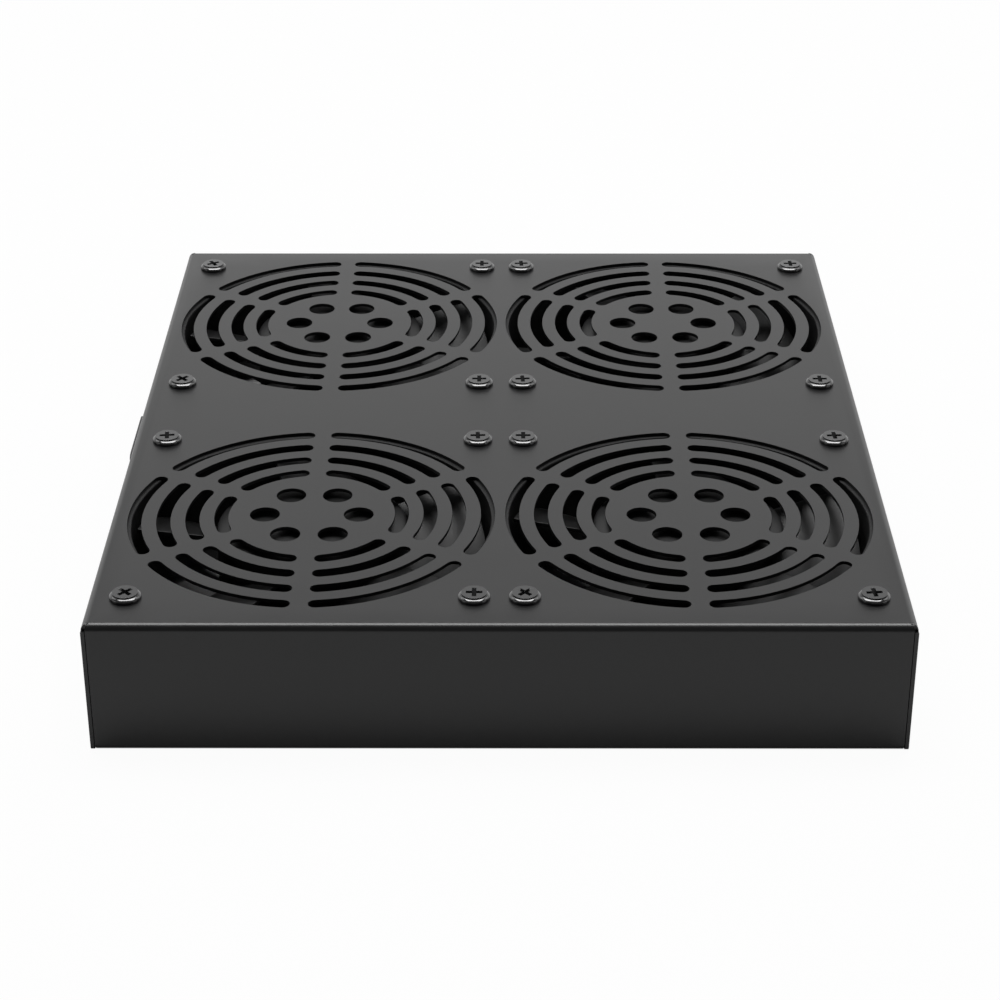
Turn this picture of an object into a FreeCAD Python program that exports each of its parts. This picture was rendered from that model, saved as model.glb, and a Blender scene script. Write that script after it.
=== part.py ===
import FreeCAD, Part
import math
import os
import re
import Sketcher

# Rack fan tray: a folded steel pan, open underneath, with four fans hung below a grille cut in its top.
# The origin is the middle of the footprint on the plane that the tray rests on; +Z is up, -Y is the front.

doc = FreeCAD.newDocument("RackFanTray")
sheet = doc.addObject("Spreadsheet::Sheet", "Sizes")

sizes = [
    ("pan_width", 248.0, "across the side walls"),
    ("pan_depth", 288.0, "front face to rear face"),
    ("pan_height", 44.0, "lips to top, one rack unit"),
    ("steel", 1.2, "sheet thickness"),
    ("bend_inside", 1.2, "inside radius of the folds"),
    ("corner_gap", 0.2, "between a side wall and the front flange"),
    ("corner_round", 1.5, "lower corners of the side walls"),
    ("lip_width", 9.2, "return lips under the front and rear flanges"),
    ("fixing_pitch_x", 200.0, "fixing holes in the lips, left to right"),
    ("fixing_pitch_y", 277.2, "fixing holes in the lips, front to rear"),
    ("fixing_hole", 4.5, "fixing hole in a lip"),
    ("fan_pitch_x", 120.3, "between fan axes, left to right"),
    ("fan_pitch_y", 149.6, "between fan axes, front to rear"),
    ("ring_radius", 28.8, "middle of the innermost slot ring"),
    ("ring_step", 9.17, "from one slot ring to the next"),
    ("slot_width", 4.5, "grille slots"),
    ("rib_width", 5.3, "six spokes between the slots"),
    ("vent_circle", 15.0, "radius of the circle of round vents"),
    ("vent_hole", 9.6, "round vents over the hub"),
    ("screw_pitch", 105.0, "fan fixing holes, a square"),
    ("screw_hole", 4.5, "through the top plate"),
    ("screw_thread", 4.0, "shank of a fan screw"),
    ("screw_length", 12.0, "shank under the head"),
    ("head_width", 9.5, "screw head"),
    ("head_height", 2.0, "screw head"),
    ("head_bevel", 1.0, "rim of the screw head"),
    ("nut_flats", 7.0, "hexagon nut"),
    ("nut_height", 3.2, "hexagon nut"),
    ("thread_play", 0.05, "round a thread in its nut"),
    ("fan_width", 119.5, "square fan frame"),
    ("fan_height", 38.0, "fan frame"),
    ("fan_flange", 4.5, "fan frame corners"),
    ("fan_corner", 2.5, "flat across a frame corner"),
    ("fan_hole", 4.3, "fixing holes in the frame"),
    ("pocket_reach", 61.0, "from the fan axis to the flat of a corner pocket"),
    ("duct_bore", 114.6, "inside of the duct"),
    ("duct_mouth", 1.5, "chamfer at both ends of the duct"),
    ("strut_width", 6.5, "four struts to the motor base"),
    ("strut_height", 5.0, "struts"),
    ("base_width", 62.0, "motor base"),
    ("base_height", 3.5, "motor base"),
    ("base_floor", 1.5, "under the shaft"),
    ("bearing_bore", 5.0, "shaft in its bearings"),
    ("bearing_width", 14.0, "outside of a ball bearing"),
    ("bearing_height", 5.0, "ball bearing"),
    ("bearing_low", 4.0, "seat of the lower bearing above the frame's underside"),
    ("bearing_high", 23.0, "seat of the upper bearing"),
    ("shoulder_width", 11.0, "bore under the lower bearing"),
    ("tube_wall", 2.5, "bearing tube"),
    ("hub_width", 61.0, "impeller hub"),
    ("hub_drop", 2.0, "hub below the frame's top"),
    ("hub_low", 9.0, "rim of the hub"),
    ("hub_wall", 4.6, "hub wall with its cage ring"),
    ("hub_roof", 2.5, "top of the hub"),
    ("hub_bevel", 1.0, "edge of the hub's top"),
    ("boss_width", 11.0, "boss that holds the shaft"),
    ("boss_play", 0.5, "boss above the upper bearing"),
    ("blade_low", 11.0, "lower edge of a blade"),
    ("blade_drop", 4.0, "upper edge of a blade below the frame's top"),
    ("blade_root", 25.0, "run of a blade at the hub"),
    ("blade_run", 46.0, "run of a blade at its tip"),
    ("blade_turn", 34.0, "camber of a blade in degrees"),
    ("blade_steel", 1.4, "thickness of a blade"),
    ("blade_sink", 26.6, "blade root plane from the axis"),
    ("blade_reach", 60.0, "untrimmed blade from the axis"),
    ("tip_gap", 1.0, "blade tip to duct"),
    ("fit_play", 0.03, "running and seating fits"),
    ("clip_width", 9.2, "shaft retaining clip"),
    ("clip_height", 0.7, "shaft retaining clip"),
    ("clip_gap", 0.2, "clip under the lower bearing"),
    ("clip_mouth", 3.0, "opening of the clip"),
    ("core_low", 11.0, "stator core"),
    ("core_height", 14.0, "stator core"),
    ("air_gap", 0.6, "stator to hub"),
    ("core_ring", 3.2, "ring of the core round the tube"),
    ("pole_width", 10.0, "stator pole"),
    ("shoe_depth", 2.3, "rim of the stator"),
    ("coil_build", 3.6, "winding round a pole"),
    ("coil_play", 0.3, "winding to the core"),
    ("inlet_width", 33.0, "inlet flange, front to rear"),
    ("inlet_height", 25.0, "inlet flange"),
    ("inlet_flange", 3.0, "inlet flange proud of the wall"),
    ("inlet_drop", 9.0, "from the tray's top to the flange's top"),
    ("inlet_body", 27.0, "inlet body, front to rear"),
    ("inlet_depth", 20.0, "inlet body behind the wall's outer face"),
    ("inlet_rise", 20.0, "inlet body, low to high"),
    ("inlet_play", 0.2, "body in the wall's cut-out"),
    ("inlet_key", 4.0, "chamfered corners of the body"),
    ("socket_wall", 1.4, "wall of the socket"),
    ("socket_depth", 17.0, "socket from its mouth"),
    ("pin_width", 2.0, "inlet pin"),
    ("pin_height", 4.0, "inlet pin"),
    ("pin_recess", 2.0, "pin tips inside the mouth"),
    ("pin_spread", 7.0, "line pins either side of the earth pin"),
    ("pin_step", 2.0, "earth pin above the middle, line pins below"),
    ("tab_length", 8.0, "solder tab behind the body"),
    ("tab_height", 4.8, "solder tab"),
    ("tab_steel", 0.8, "solder tab"),
    ("block_left", -62.0, "left end of the terminal block"),
    ("block_length", 26.0, "terminal block"),
    ("block_width", 22.0, "terminal block"),
    ("block_height", 13.0, "terminal block"),
    ("clamp_width", 4.0, "head of a clamp screw"),
    ("clamp_depth", 2.5, "recess over a clamp screw"),
    ("clamp_height", 1.8, "head of a clamp screw"),
    ("clamp_pitch_x", 12.0, "clamp screws along the block"),
    ("clamp_pitch_y", 5.0, "poles across the block"),
    ("stud_x", -71.0, "earth stud"),
    ("stud_y", 11.0, "earth stud"),
    ("stud_length", 11.0, "earth stud under the top plate"),
    ("ring_width", 8.0, "ring terminal"),
    ("ring_steel", 0.9, "ring terminal"),
    ("ring_neck", 1.0, "from the ring to its crimp barrel"),
    ("barrel_length", 6.0, "crimp barrel of the ring terminal"),
    ("barrel_width", 3.6, "crimp barrel"),
    ("lead_width", 2.6, "single lead"),
    ("cable_width", 3.6, "two-core fan cable"),
    ("plug_reach", 41.0, "fan plug from the fan axis, left to right"),
    ("plug_length", 10.0, "fan plug"),
    ("plug_depth", 8.0, "fan plug"),
    ("plug_height", 9.5, "fan plug"),
    ("plug_inset", 0.75, "fan plug inside the frame's edge"),
]
spoke_count = 6
blade_count = 5

# Arcs and circles that repeat are drawn with straight sides; each slot ring has its own number per arc.
slot_sides = [3, 3, 4, 4]
vent_sides = 10
head_sides = 12
shank_sides = 8
duct_sides = 40
base_sides = 24
tube_sides = 12
hub_sides = 30
blade_sides = 4
bend_sides = 3

for row, (alias, value, note) in enumerate(sizes, 1):
    sheet.set(f"A{row}", alias)
    sheet.set(f"B{row}", str(value))
    sheet.set(f"C{row}", note)
    sheet.setAlias(f"B{row}", alias)
doc.recompute()

aliases = {alias for alias, value, note in sizes}

# Which way each fan lies from the middle, and the angle at which its impeller stands.
fans = {
    "front_left": (-1, -1, 14.0),
    "front_right": (1, -1, 6.5),
    "rear_left": (-1, 1, 13.5),
    "rear_right": (1, 1, 30.5),
}

bend = "(bend_inside + steel)"
fan_floor = "(pan_height - steel - fan_height)"
hub_top = "(fan_height - hub_drop)"
blade_high = "(fan_height - blade_drop)"
tube_width = "(bearing_width + 2 * tube_wall)"
hub_inside = "(hub_width / 2 - hub_wall)"
blade_tip = "(duct_bore / 2 - tip_gap)"
inlet_middle = "(pan_height - inlet_drop - inlet_height / 2)"


def linked(text):
    """Points each alias in an expression at its cell."""
    return re.sub(
        r"[a-z][a-z_]*",
        lambda word: f"Sizes.{word.group()}" if word.group() in aliases else word.group(),
        text,
    )


def size(text):
    """The value of an expression, for a first guess or for a shape that is worked out here."""
    value = sheet.evalExpression(linked(text))
    return float(getattr(value, "Value", value))


def bind(item, **fields):
    for field, text in fields.items():
        item.setExpression(field.replace("__", "."), linked(text))


def new_body(label):
    body = doc.addObject("PartDesign::Body", "Body")
    body.Label = label
    return body


def origin_part(body, role):
    return next(item for item in body.Origin.OriginFeatures if item.Role == role)


def new_sketch(body, plane="XY_Plane", x="0", y="0", z="0", turn=0.0):
    """A sketch on one of the body's own planes; z is along the plane's normal."""
    sketch = body.newObject("Sketcher::SketchObject", "Sketch")
    sketch.AttachmentSupport = [(origin_part(body, plane), "")]
    sketch.MapMode = "FlatFace"
    sketch.AttachmentOffset = FreeCAD.Placement(FreeCAD.Vector(), FreeCAD.Rotation(turn, 0, 0))
    bind(sketch, AttachmentOffset__Base__x=x, AttachmentOffset__Base__y=y, AttachmentOffset__Base__z=z)
    return sketch


def hold(sketch, held):
    """Adds constraints together; each comes with the expression of its value, or with none."""
    indices = sketch.addConstraint([constraint for constraint, text in held])
    for index, (constraint, text) in zip(indices, held):
        if text:
            sketch.setExpression(f"Constraints[{index}]", linked(text))


def pinned(edge, point, x, y):
    """Holds a point of the sketch at x, y."""
    return [
        (Sketcher.Constraint("DistanceX", -1, 1, edge, point, size(x)), x),
        (Sketcher.Constraint("DistanceY", -1, 1, edge, point, size(y)), y),
    ]


def rounded(edge, radius):
    return [(Sketcher.Constraint("Radius", edge, size(radius)), radius)]


def circle(sketch, x, y, radius):
    centre = FreeCAD.Vector(size(x), size(y), 0)
    edge = sketch.addGeometry(Part.Circle(centre, FreeCAD.Vector(0, 0, 1), size(radius)))
    hold(sketch, pinned(edge, 3, x, y) + rounded(edge, radius))


def outline(sketch, corners):
    """A closed outline. A corner is (x, y), or (x, y, turn, radius) where an arc leads to the next one:
    turn is 1 for an arc that bends left and -1 for one that bends right."""
    points = [FreeCAD.Vector(size(corner[0]), size(corner[1]), 0) for corner in corners]
    edges = []
    for corner, start, end in zip(corners, points, points[1:] + points[:1]):
        if len(corner) == 2:
            edges.append((sketch.addGeometry(Part.LineSegment(start, end)), 1, 2))
            continue
        turn, radius = corner[2], size(corner[3])
        chord = end - start
        side = FreeCAD.Vector(-chord.y, chord.x, 0).normalize() * turn
        depth = math.sqrt(max(radius**2 - chord.Length**2 / 4, 0))
        centre = (start + end) / 2 + side * depth
        first, last = (start, end) if turn > 0 else (end, start)
        angles = [math.atan2(point.y - centre.y, point.x - centre.x) for point in (first, last)]
        if angles[1] < angles[0]:
            angles[1] += 2 * math.pi
        ring = Part.Circle(centre, FreeCAD.Vector(0, 0, 1), radius)
        edge = sketch.addGeometry(Part.ArcOfCircle(ring, *angles))
        edges.append((edge, 1, 2) if turn > 0 else (edge, 2, 1))
    held = []
    for (edge, start, end), (after, after_start, after_end) in zip(edges, edges[1:] + edges[:1]):
        held.append((Sketcher.Constraint("Coincident", edge, end, after, after_start), ""))
    for (edge, start, end), corner in zip(edges, corners):
        held += pinned(edge, start, corner[0], corner[1])
        if len(corner) > 2:
            held += rounded(edge, corner[3])
    hold(sketch, held)


def polygon(sketch, x, y, radius, sides):
    """A regular polygon with one corner to the right of its middle; radius reaches its corners."""
    turns = [f"{360 * k / sides:g} deg" for k in range(sides)]
    outline(sketch, [(f"{x} + {radius} * cos({turn})", f"{y} + {radius} * sin({turn})") for turn in turns])


def box_outline(sketch, left, low, right, high):
    outline(sketch, [(left, low), (right, low), (right, high), (left, high)])


def pad(body, sketch, length, both_ways=False, reverse=False):
    feature = body.newObject("PartDesign::Pad", "Pad")
    feature.Profile = sketch
    feature.SideType = "Symmetric" if both_ways else "One side"
    feature.Reversed = reverse
    bind(feature, Length=length)
    return feature


def pocket(body, sketch, length, both_ways=False, reverse=False):
    """Cuts against the sketch's normal, or along it when reversed."""
    feature = body.newObject("PartDesign::Pocket", "Pocket")
    feature.Profile = sketch
    feature.SideType = "Symmetric" if both_ways else "One side"
    feature.Reversed = reverse
    bind(feature, Length=length)
    return feature


def loft(body, kind, first, last):
    feature = body.newObject(f"PartDesign::{kind}Loft", "Loft")
    feature.Profile = first
    feature.Sections = [(last, [""])]
    feature.Ruled = True
    return feature


def mirrored(body, plane):
    step = body.newObject("PartDesign::Mirrored", "Mirrored")
    step.MirrorPlane = (origin_part(body, plane), [""])
    return step


def row_of_two(body, axis, length):
    step = body.newObject("PartDesign::LinearPattern", "Row")
    step.Direction = (origin_part(body, axis), [""])
    step.Occurrences = 2
    step.Reversed = True
    bind(step, Length=length)
    return step


def turned(body, axis, count):
    step = body.newObject("PartDesign::PolarPattern", "Turned")
    step.Axis = axis
    step.Angle = 360
    step.Occurrences = count
    return step


def repeat(body, sources, *steps):
    """Repeats features by several steps in turn."""
    feature = body.newObject("PartDesign::MultiTransform", "Repeat")
    feature.Originals = sources
    feature.Transformations = list(steps)
    body.Tip = feature
    return feature


def four_quarters(body, *sources):
    return repeat(body, list(sources), mirrored(body, "YZ_Plane"), mirrored(body, "XZ_Plane"))


def sixteen_corners(body, *sources):
    """From the outermost fixing point to all four points of all four fans."""
    return repeat(
        body,
        list(sources),
        row_of_two(body, "X_Axis", "screw_pitch"),
        row_of_two(body, "Y_Axis", "screw_pitch"),
        mirrored(body, "YZ_Plane"),
        mirrored(body, "XZ_Plane"),
    )


outer_screw_x = "(fan_pitch_x + screw_pitch) / 2"
outer_screw_y = "(fan_pitch_y + screw_pitch) / 2"


# --- the folded pan ---


def wall_section():
    """The top and both side walls, seen from the front."""
    half, top = "pan_width / 2", "pan_height"
    return [
        (f"-{half}", "0"),
        (f"-{half}", f"{top} - {bend}", -1, bend),
        (f"-{half} + {bend}", top),
        (f"{half} - {bend}", top, -1, bend),
        (half, f"{top} - {bend}"),
        (half, "0"),
        (f"{half} - steel", "0"),
        (f"{half} - steel", f"{top} - {bend}", 1, "bend_inside"),
        (f"{half} - {bend}", f"{top} - steel"),
        (f"-{half} + {bend}", f"{top} - steel", 1, "bend_inside"),
        (f"-{half} + steel", f"{top} - {bend}"),
        (f"-{half} + steel", "0"),
    ]


def flange_section():
    """The front flange, the top and the rear flange with their return lips, seen from the side."""
    half, top = "pan_depth / 2", "pan_height"
    return [
        (f"-{half} + lip_width", "0"),
        (f"-{half} + {bend}", "0", -1, bend),
        (f"-{half}", bend),
        (f"-{half}", f"{top} - {bend}", -1, bend),
        (f"-{half} + {bend}", top),
        (f"{half} - {bend}", top, -1, bend),
        (half, f"{top} - {bend}"),
        (half, bend, -1, bend),
        (f"{half} - {bend}", "0"),
        (f"{half} - lip_width", "0"),
        (f"{half} - lip_width", "steel"),
        (f"{half} - {bend}", "steel", 1, "bend_inside"),
        (f"{half} - steel", bend),
        (f"{half} - steel", f"{top} - {bend}", 1, "bend_inside"),
        (f"{half} - {bend}", f"{top} - steel"),
        (f"-{half} + {bend}", f"{top} - steel", 1, "bend_inside"),
        (f"-{half} + steel", f"{top} - {bend}"),
        (f"-{half} + steel", bend, 1, "bend_inside"),
        (f"-{half} + {bend}", "steel"),
        (f"-{half} + lip_width", "steel"),
    ]


def wall_face():
    """A side wall seen from the side, with its lower corners rounded."""
    half, top = "pan_depth / 2", f"(pan_height - {bend})"
    return [
        (f"-{half} + corner_round", "0"),
        (f"{half} - corner_round", "0", 1, "corner_round"),
        (half, "corner_round"),
        (half, top),
        (f"-{half}", top),
        (f"-{half}", "corner_round", 1, "corner_round"),
    ]


def grille_slot(sketch, radius, steps):
    """A slot about the fan axis between two spokes, its ends cut to three flats."""
    half = "slot_width / 2"
    flat = f"({half} * tan(22.5 deg))"
    tip = f"(30 deg - asin(rib_width / 2 / ({radius})))"
    side = f"({tip} - atan({half} / ({radius})) + atan({flat} / ({radius})))"
    inner, near = f"(({radius}) - {half})", f"(({radius}) - {flat})"
    outer, far = f"(({radius}) + {half})", f"(({radius}) + {flat})"
    shares = [2 * k / steps - 1 for k in range(steps + 1)]
    corners = [(outer, f"{share} * {side}") for share in shares] + [(far, tip), (near, tip)]
    corners += [(inner, f"{share} * {side}") for share in shares[::-1]]
    corners += [(near, f"-{tip}"), (far, f"-{tip}")]
    outline(sketch, [(f"{reach} * cos({turn})", f"{reach} * sin({turn})") for reach, turn in corners])


def keyed_outline(sketch, half_width, half_height):
    """The inlet's outline: a rectangle with its two upper corners cut off."""
    low, high = f"{inlet_middle} - {half_height}", f"{inlet_middle} + {half_height}"
    outline(
        sketch,
        [
            (f"-{half_width}", low),
            (half_width, low),
            (half_width, f"{high} - inlet_key"),
            (f"{half_width} - inlet_key", high),
            (f"-{half_width} + inlet_key", high),
            (f"-{half_width}", f"{high} - inlet_key"),
        ],
    )


def make_pan():
    body = new_body("tray_pan")
    relief = "(steel + corner_gap)"

    walls = new_sketch(body, "XZ_Plane")
    outline(walls, wall_section())
    pad(body, walls, f"pan_depth - 2 * {relief}", both_ways=True)

    flanges = new_sketch(body, "YZ_Plane")
    outline(flanges, flange_section())
    pad(body, flanges, f"pan_width - 2 * {relief}", both_ways=True)

    wall = new_sketch(body, "YZ_Plane", z="pan_width / 2 - steel")
    outline(wall, wall_face())
    repeat(body, [pad(body, wall, "steel")], mirrored(body, "YZ_Plane"))

    screw_hole = new_sketch(body, x=outer_screw_x, y=outer_screw_y, z="pan_height")
    polygon(screw_hole, "0", "0", "screw_hole / 2", shank_sides)
    sixteen_corners(body, pocket(body, screw_hole, "2 * steel"))

    fixing = new_sketch(body, x="fixing_pitch_x / 2", y="fixing_pitch_y / 2")
    circle(fixing, "0", "0", "fixing_hole / 2")
    four_quarters(body, pocket(body, fixing, "steel", reverse=True))

    cutout = new_sketch(body, "YZ_Plane", z="-pan_width / 2")
    keyed_outline(cutout, "(inlet_body / 2 + inlet_play)", "(inlet_rise / 2 + inlet_play)")
    pocket(body, cutout, "2 * steel", reverse=True)

    grille = new_sketch(body, x="fan_pitch_x / 2", y="fan_pitch_y / 2", z="pan_height")
    for ring, steps in enumerate(slot_sides):
        grille_slot(grille, f"ring_radius + {ring} * ring_step", steps)
    polygon(grille, "vent_circle", "0", "vent_hole / 2", vent_sides)
    repeat(
        body,
        [pocket(body, grille, "2 * steel")],
        turned(body, (grille, ["N_Axis"]), spoke_count),
        mirrored(body, "YZ_Plane"),
        mirrored(body, "XZ_Plane"),
    )
    return body


def make_fan_screws():
    body = new_body("fan_screws")
    place = {"x": outer_screw_x, "y": outer_screw_y}
    shank = new_sketch(body, **place, z="pan_height - screw_length")
    polygon(shank, "0", "0", "screw_thread / 2", shank_sides)
    head = new_sketch(body, **place, z="pan_height")
    polygon(head, "0", "0", "head_width / 2", head_sides)
    rim = new_sketch(body, **place, z="pan_height + head_height - head_bevel")
    polygon(rim, "0", "0", "head_width / 2", head_sides)
    crown = new_sketch(body, **place, z="pan_height + head_height")
    polygon(crown, "0", "0", "(head_width / 2 - head_bevel)", head_sides)
    sixteen_corners(
        body,
        pad(body, shank, "screw_length"),
        pad(body, head, "head_height - head_bevel"),
        loft(body, "Additive", rim, crown),
    )
    return body


def hexagon(sketch):
    """A nut with its bore."""
    polygon(sketch, "0", "0", "(nut_flats / 2 / cos(30 deg))", 6)
    polygon(sketch, "0", "0", "(screw_thread / 2 + thread_play)", shank_sides)


def make_fan_nuts():
    body = new_body("fan_nuts")
    seat = "pan_height - steel - fan_flange"
    profile = new_sketch(body, x=outer_screw_x, y=outer_screw_y, z=seat)
    hexagon(profile)
    sixteen_corners(body, pad(body, profile, "nut_height", reverse=True))
    return body


# --- the fans ---


def place_fan(body, fan, turn=0.0):
    """Stands a body on a fan's axis, at the height of the frame's underside."""
    side, end, angle = fans[fan]
    body.Placement.Rotation = FreeCAD.Rotation(FreeCAD.Vector(0, 0, 1), turn)
    bind(
        body,
        Placement__Base__x=f"{side} * fan_pitch_x / 2",
        Placement__Base__y=f"{end} * fan_pitch_y / 2",
        Placement__Base__z=fan_floor,
    )


def make_frame(fan):
    body = new_body(f"{fan}_frame")
    place_fan(body, fan)
    half = "(fan_width / 2)"
    square = new_sketch(body)
    inset = f"({half} - fan_corner)"
    corners = [(inset, f"-{half}"), (half, f"-{inset}"), (half, inset), (inset, half)]
    corners += [(f"-{inset}", half), (f"-{half}", inset)]
    corners += [(f"-{half}", f"-{inset}"), (f"-{inset}", f"-{half}")]
    outline(square, corners)
    pad(body, square, "fan_height")

    # Between its two flanges each corner is cut back to a flat across the diagonal.
    beyond = "(fan_width / 2 + fan_corner)"
    across = "pocket_reach * sqrt(2)"
    corner = new_sketch(body, z="fan_flange")
    outline(corner, [(beyond, f"{across} - {beyond}"), (beyond, beyond), (f"{across} - {beyond}", beyond)])
    upright = (origin_part(body, "Z_Axis"), [""])
    cut = pocket(body, corner, "fan_height - 2 * fan_flange", reverse=True)
    repeat(body, [cut], turned(body, upright, 4))

    flats = f"cos({180 / duct_sides:g} deg)"
    bore, mouth = f"(duct_bore / 2 / {flats})", f"((duct_bore / 2 + duct_mouth) / {flats})"
    duct = new_sketch(body)
    polygon(duct, "0", "0", bore, duct_sides)
    pocket(body, duct, "fan_height", reverse=True)
    for level, inside in (("0", "duct_mouth"), ("fan_height", "fan_height - duct_mouth")):
        rim = new_sketch(body, z=level)
        polygon(rim, "0", "0", mouth, duct_sides)
        throat = new_sketch(body, z=inside)
        polygon(throat, "0", "0", bore, duct_sides)
        loft(body, "Subtractive", rim, throat)

    strut = new_sketch(body, turn=45.0)
    inside, outside = "base_width / 2 - base_height", "pocket_reach - steel"
    box_outline(strut, inside, "-strut_width / 2", outside, "strut_width / 2")
    repeat(body, [pad(body, strut, "strut_height")], turned(body, upright, 4))

    base = new_sketch(body)
    polygon(base, "0", "0", "base_width / 2", base_sides)
    pad(body, base, "base_height")
    tube = new_sketch(body)
    polygon(tube, "0", "0", f"{tube_width} / 2", tube_sides)
    pad(body, tube, "bearing_high + bearing_height")
    seat = new_sketch(body, z="bearing_low")
    polygon(seat, "0", "0", "bearing_width / 2", tube_sides)
    pocket(body, seat, "fan_height", reverse=True)
    shoulder = new_sketch(body, z="base_floor")
    polygon(shoulder, "0", "0", "shoulder_width / 2", tube_sides)
    pocket(body, shoulder, "fan_height", reverse=True)

    hole = new_sketch(body, x="screw_pitch / 2", y="screw_pitch / 2")
    polygon(hole, "0", "0", "fan_hole / 2", shank_sides)
    four_quarters(body, pocket(body, hole, "fan_height", reverse=True))
    return body


def blade_section(sketch):
    """A thin cambered plate that climbs across its run, flatter towards its upper edge."""
    rise = f"({blade_high} - blade_low)"
    slope = f"atan({rise} / blade_run)"
    radius = f"(hypot(blade_run; {rise}) / 2 / sin(blade_turn * 0.5 deg))"
    last = f"({slope} - blade_turn * 0.5 deg)"
    upper, lower = [], []
    for k in range(blade_sides + 1):
        turn = f"({last} + blade_turn * {1 - k / blade_sides:g} deg)"
        across = f"blade_run / 2 - {radius} * (sin({turn}) - sin({last}))"
        up = f"{blade_high} + {radius} * (cos({turn}) - cos({last}))"
        upper.append((across, up))
        lower.append((f"{across} + blade_steel * sin({turn})", f"{up} - blade_steel * cos({turn})"))
    outline(sketch, upper + lower[::-1])


def make_impeller(fan):
    body = new_body(f"{fan}_impeller")
    place_fan(body, fan, fans[fan][2])

    section = new_sketch(body, "YZ_Plane", z="blade_sink")
    blade_section(section)
    blade = pad(body, section, "blade_reach - blade_sink")

    # A blade narrows from its tip to the hub, and its tip is cut to a ring that runs inside the duct.
    start, end = "blade_sink - steel", "blade_reach + steel"
    sides = new_sketch(body)
    for side in (1, -1):
        beyond = f"{side} * (blade_run / 2 + steel)"
        near, far = f"{side} * blade_root / 2", f"{side} * blade_run / 2"
        outline(sides, [(start, near), (end, far), (end, beyond), (start, beyond)])
    narrowing = pocket(body, sides, "fan_height", reverse=True)
    ring = new_sketch(body)
    turns = [f"{13 * k - 26} deg" for k in range(5)]
    rim = [(f"{blade_tip} * cos({turn})", f"{blade_tip} * sin({turn})") for turn in turns]
    outline(ring, rim + [(end, rim[-1][1]), (end, rim[0][1])])
    trimming = pocket(body, ring, "fan_height", reverse=True)
    upright = (origin_part(body, "Z_Axis"), [""])
    repeat(body, [blade, narrowing, trimming], turned(body, upright, blade_count))

    ceiling, boss_foot = f"{hub_top} - hub_roof", "bearing_high + bearing_height + boss_play"
    cup = new_sketch(body, z="hub_low")
    polygon(cup, "0", "0", "hub_width / 2", hub_sides)
    pad(body, cup, f"{hub_top} - hub_bevel - hub_low")
    hollow = new_sketch(body, z="hub_low")
    polygon(hollow, "0", "0", hub_inside, hub_sides)
    pocket(body, hollow, f"{ceiling} - hub_low", reverse=True)
    shoulder = new_sketch(body, z=f"{hub_top} - hub_bevel")
    polygon(shoulder, "0", "0", "hub_width / 2", hub_sides)
    crown = new_sketch(body, z=hub_top)
    polygon(crown, "0", "0", "(hub_width / 2 - hub_bevel)", hub_sides)
    loft(body, "Additive", shoulder, crown)
    boss = new_sketch(body, z=boss_foot)
    polygon(boss, "0", "0", "boss_width / 2", tube_sides)
    pad(body, boss, f"{ceiling} - ({boss_foot})")
    bore = new_sketch(body, z=boss_foot)
    circle(bore, "0", "0", "bearing_bore / 2")
    body.Tip = pocket(body, bore, f"{hub_top} - hub_roof / 2 - ({boss_foot})", reverse=True)
    return body


def make_shaft(fan):
    body = new_body(f"{fan}_shaft")
    place_fan(body, fan)
    foot = "(bearing_low - clip_gap - 2 * clip_height)"
    section = new_sketch(body, z=foot)
    circle(section, "0", "0", "bearing_bore / 2 - fit_play")
    pad(body, section, f"{hub_top} - hub_roof / 2 - {foot}")
    return body


def make_clip(fan):
    body = new_body(f"{fan}_clip")
    place_fan(body, fan)
    level = "bearing_low - clip_gap - clip_height"
    ring = new_sketch(body, z=level)
    polygon(ring, "0", "0", "clip_width / 2", tube_sides)
    polygon(ring, "0", "0", "(bearing_bore / 2 / cos(15 deg))", tube_sides)
    pad(body, ring, "clip_height")
    mouth = new_sketch(body, z=level)
    box_outline(mouth, "0", "-clip_mouth / 2", "clip_width", "clip_mouth / 2")
    body.Tip = pocket(body, mouth, "clip_height", reverse=True)
    return body


fan_place = {"x": "fan_pitch_x / 2", "y": "fan_pitch_y / 2"}


def make_bearings():
    body = new_body("fan_bearings")
    for seat in ("bearing_low", "bearing_high"):
        race = new_sketch(body, **fan_place, z=f"{fan_floor} + {seat}")
        polygon(race, "0", "0", "(bearing_width / 2 - fit_play)", tube_sides)
        polygon(race, "0", "0", "(bearing_bore / 2 / cos(15 deg))", tube_sides)
        four_quarters(body, pad(body, race, "bearing_height"))
    return body


def quarter_turns(corners):
    """The same corners at each quarter turn about the axis."""
    for turn in range(4):
        yield corners
        corners = [(f"-({up})", across) for across, up in corners]


core_bore = f"({tube_width} / 2 + fit_play)"
core_rim = f"({hub_inside} - air_gap)"
window_rim = f"({core_rim} - shoe_depth)"


def make_stator_cores():
    body = new_body("stator_cores")
    core = new_sketch(body, **fan_place, z=f"{fan_floor} + core_low")
    polygon(core, "0", "0", core_rim, base_sides)
    polygon(core, "0", "0", core_bore, tube_sides)
    pole, near, far = "pole_width / 2", f"({core_bore} + core_ring)", window_rim
    window = [(near, pole), (f"sqrt({far}^2 - ({pole})^2)", pole), (f"{far} / sqrt(2)", f"{far} / sqrt(2)")]
    window += [(pole, f"sqrt({far}^2 - ({pole})^2)"), (pole, near)]
    for corners in quarter_turns(window):
        outline(core, corners)
    four_quarters(body, pad(body, core, "core_height"))
    return body


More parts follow.
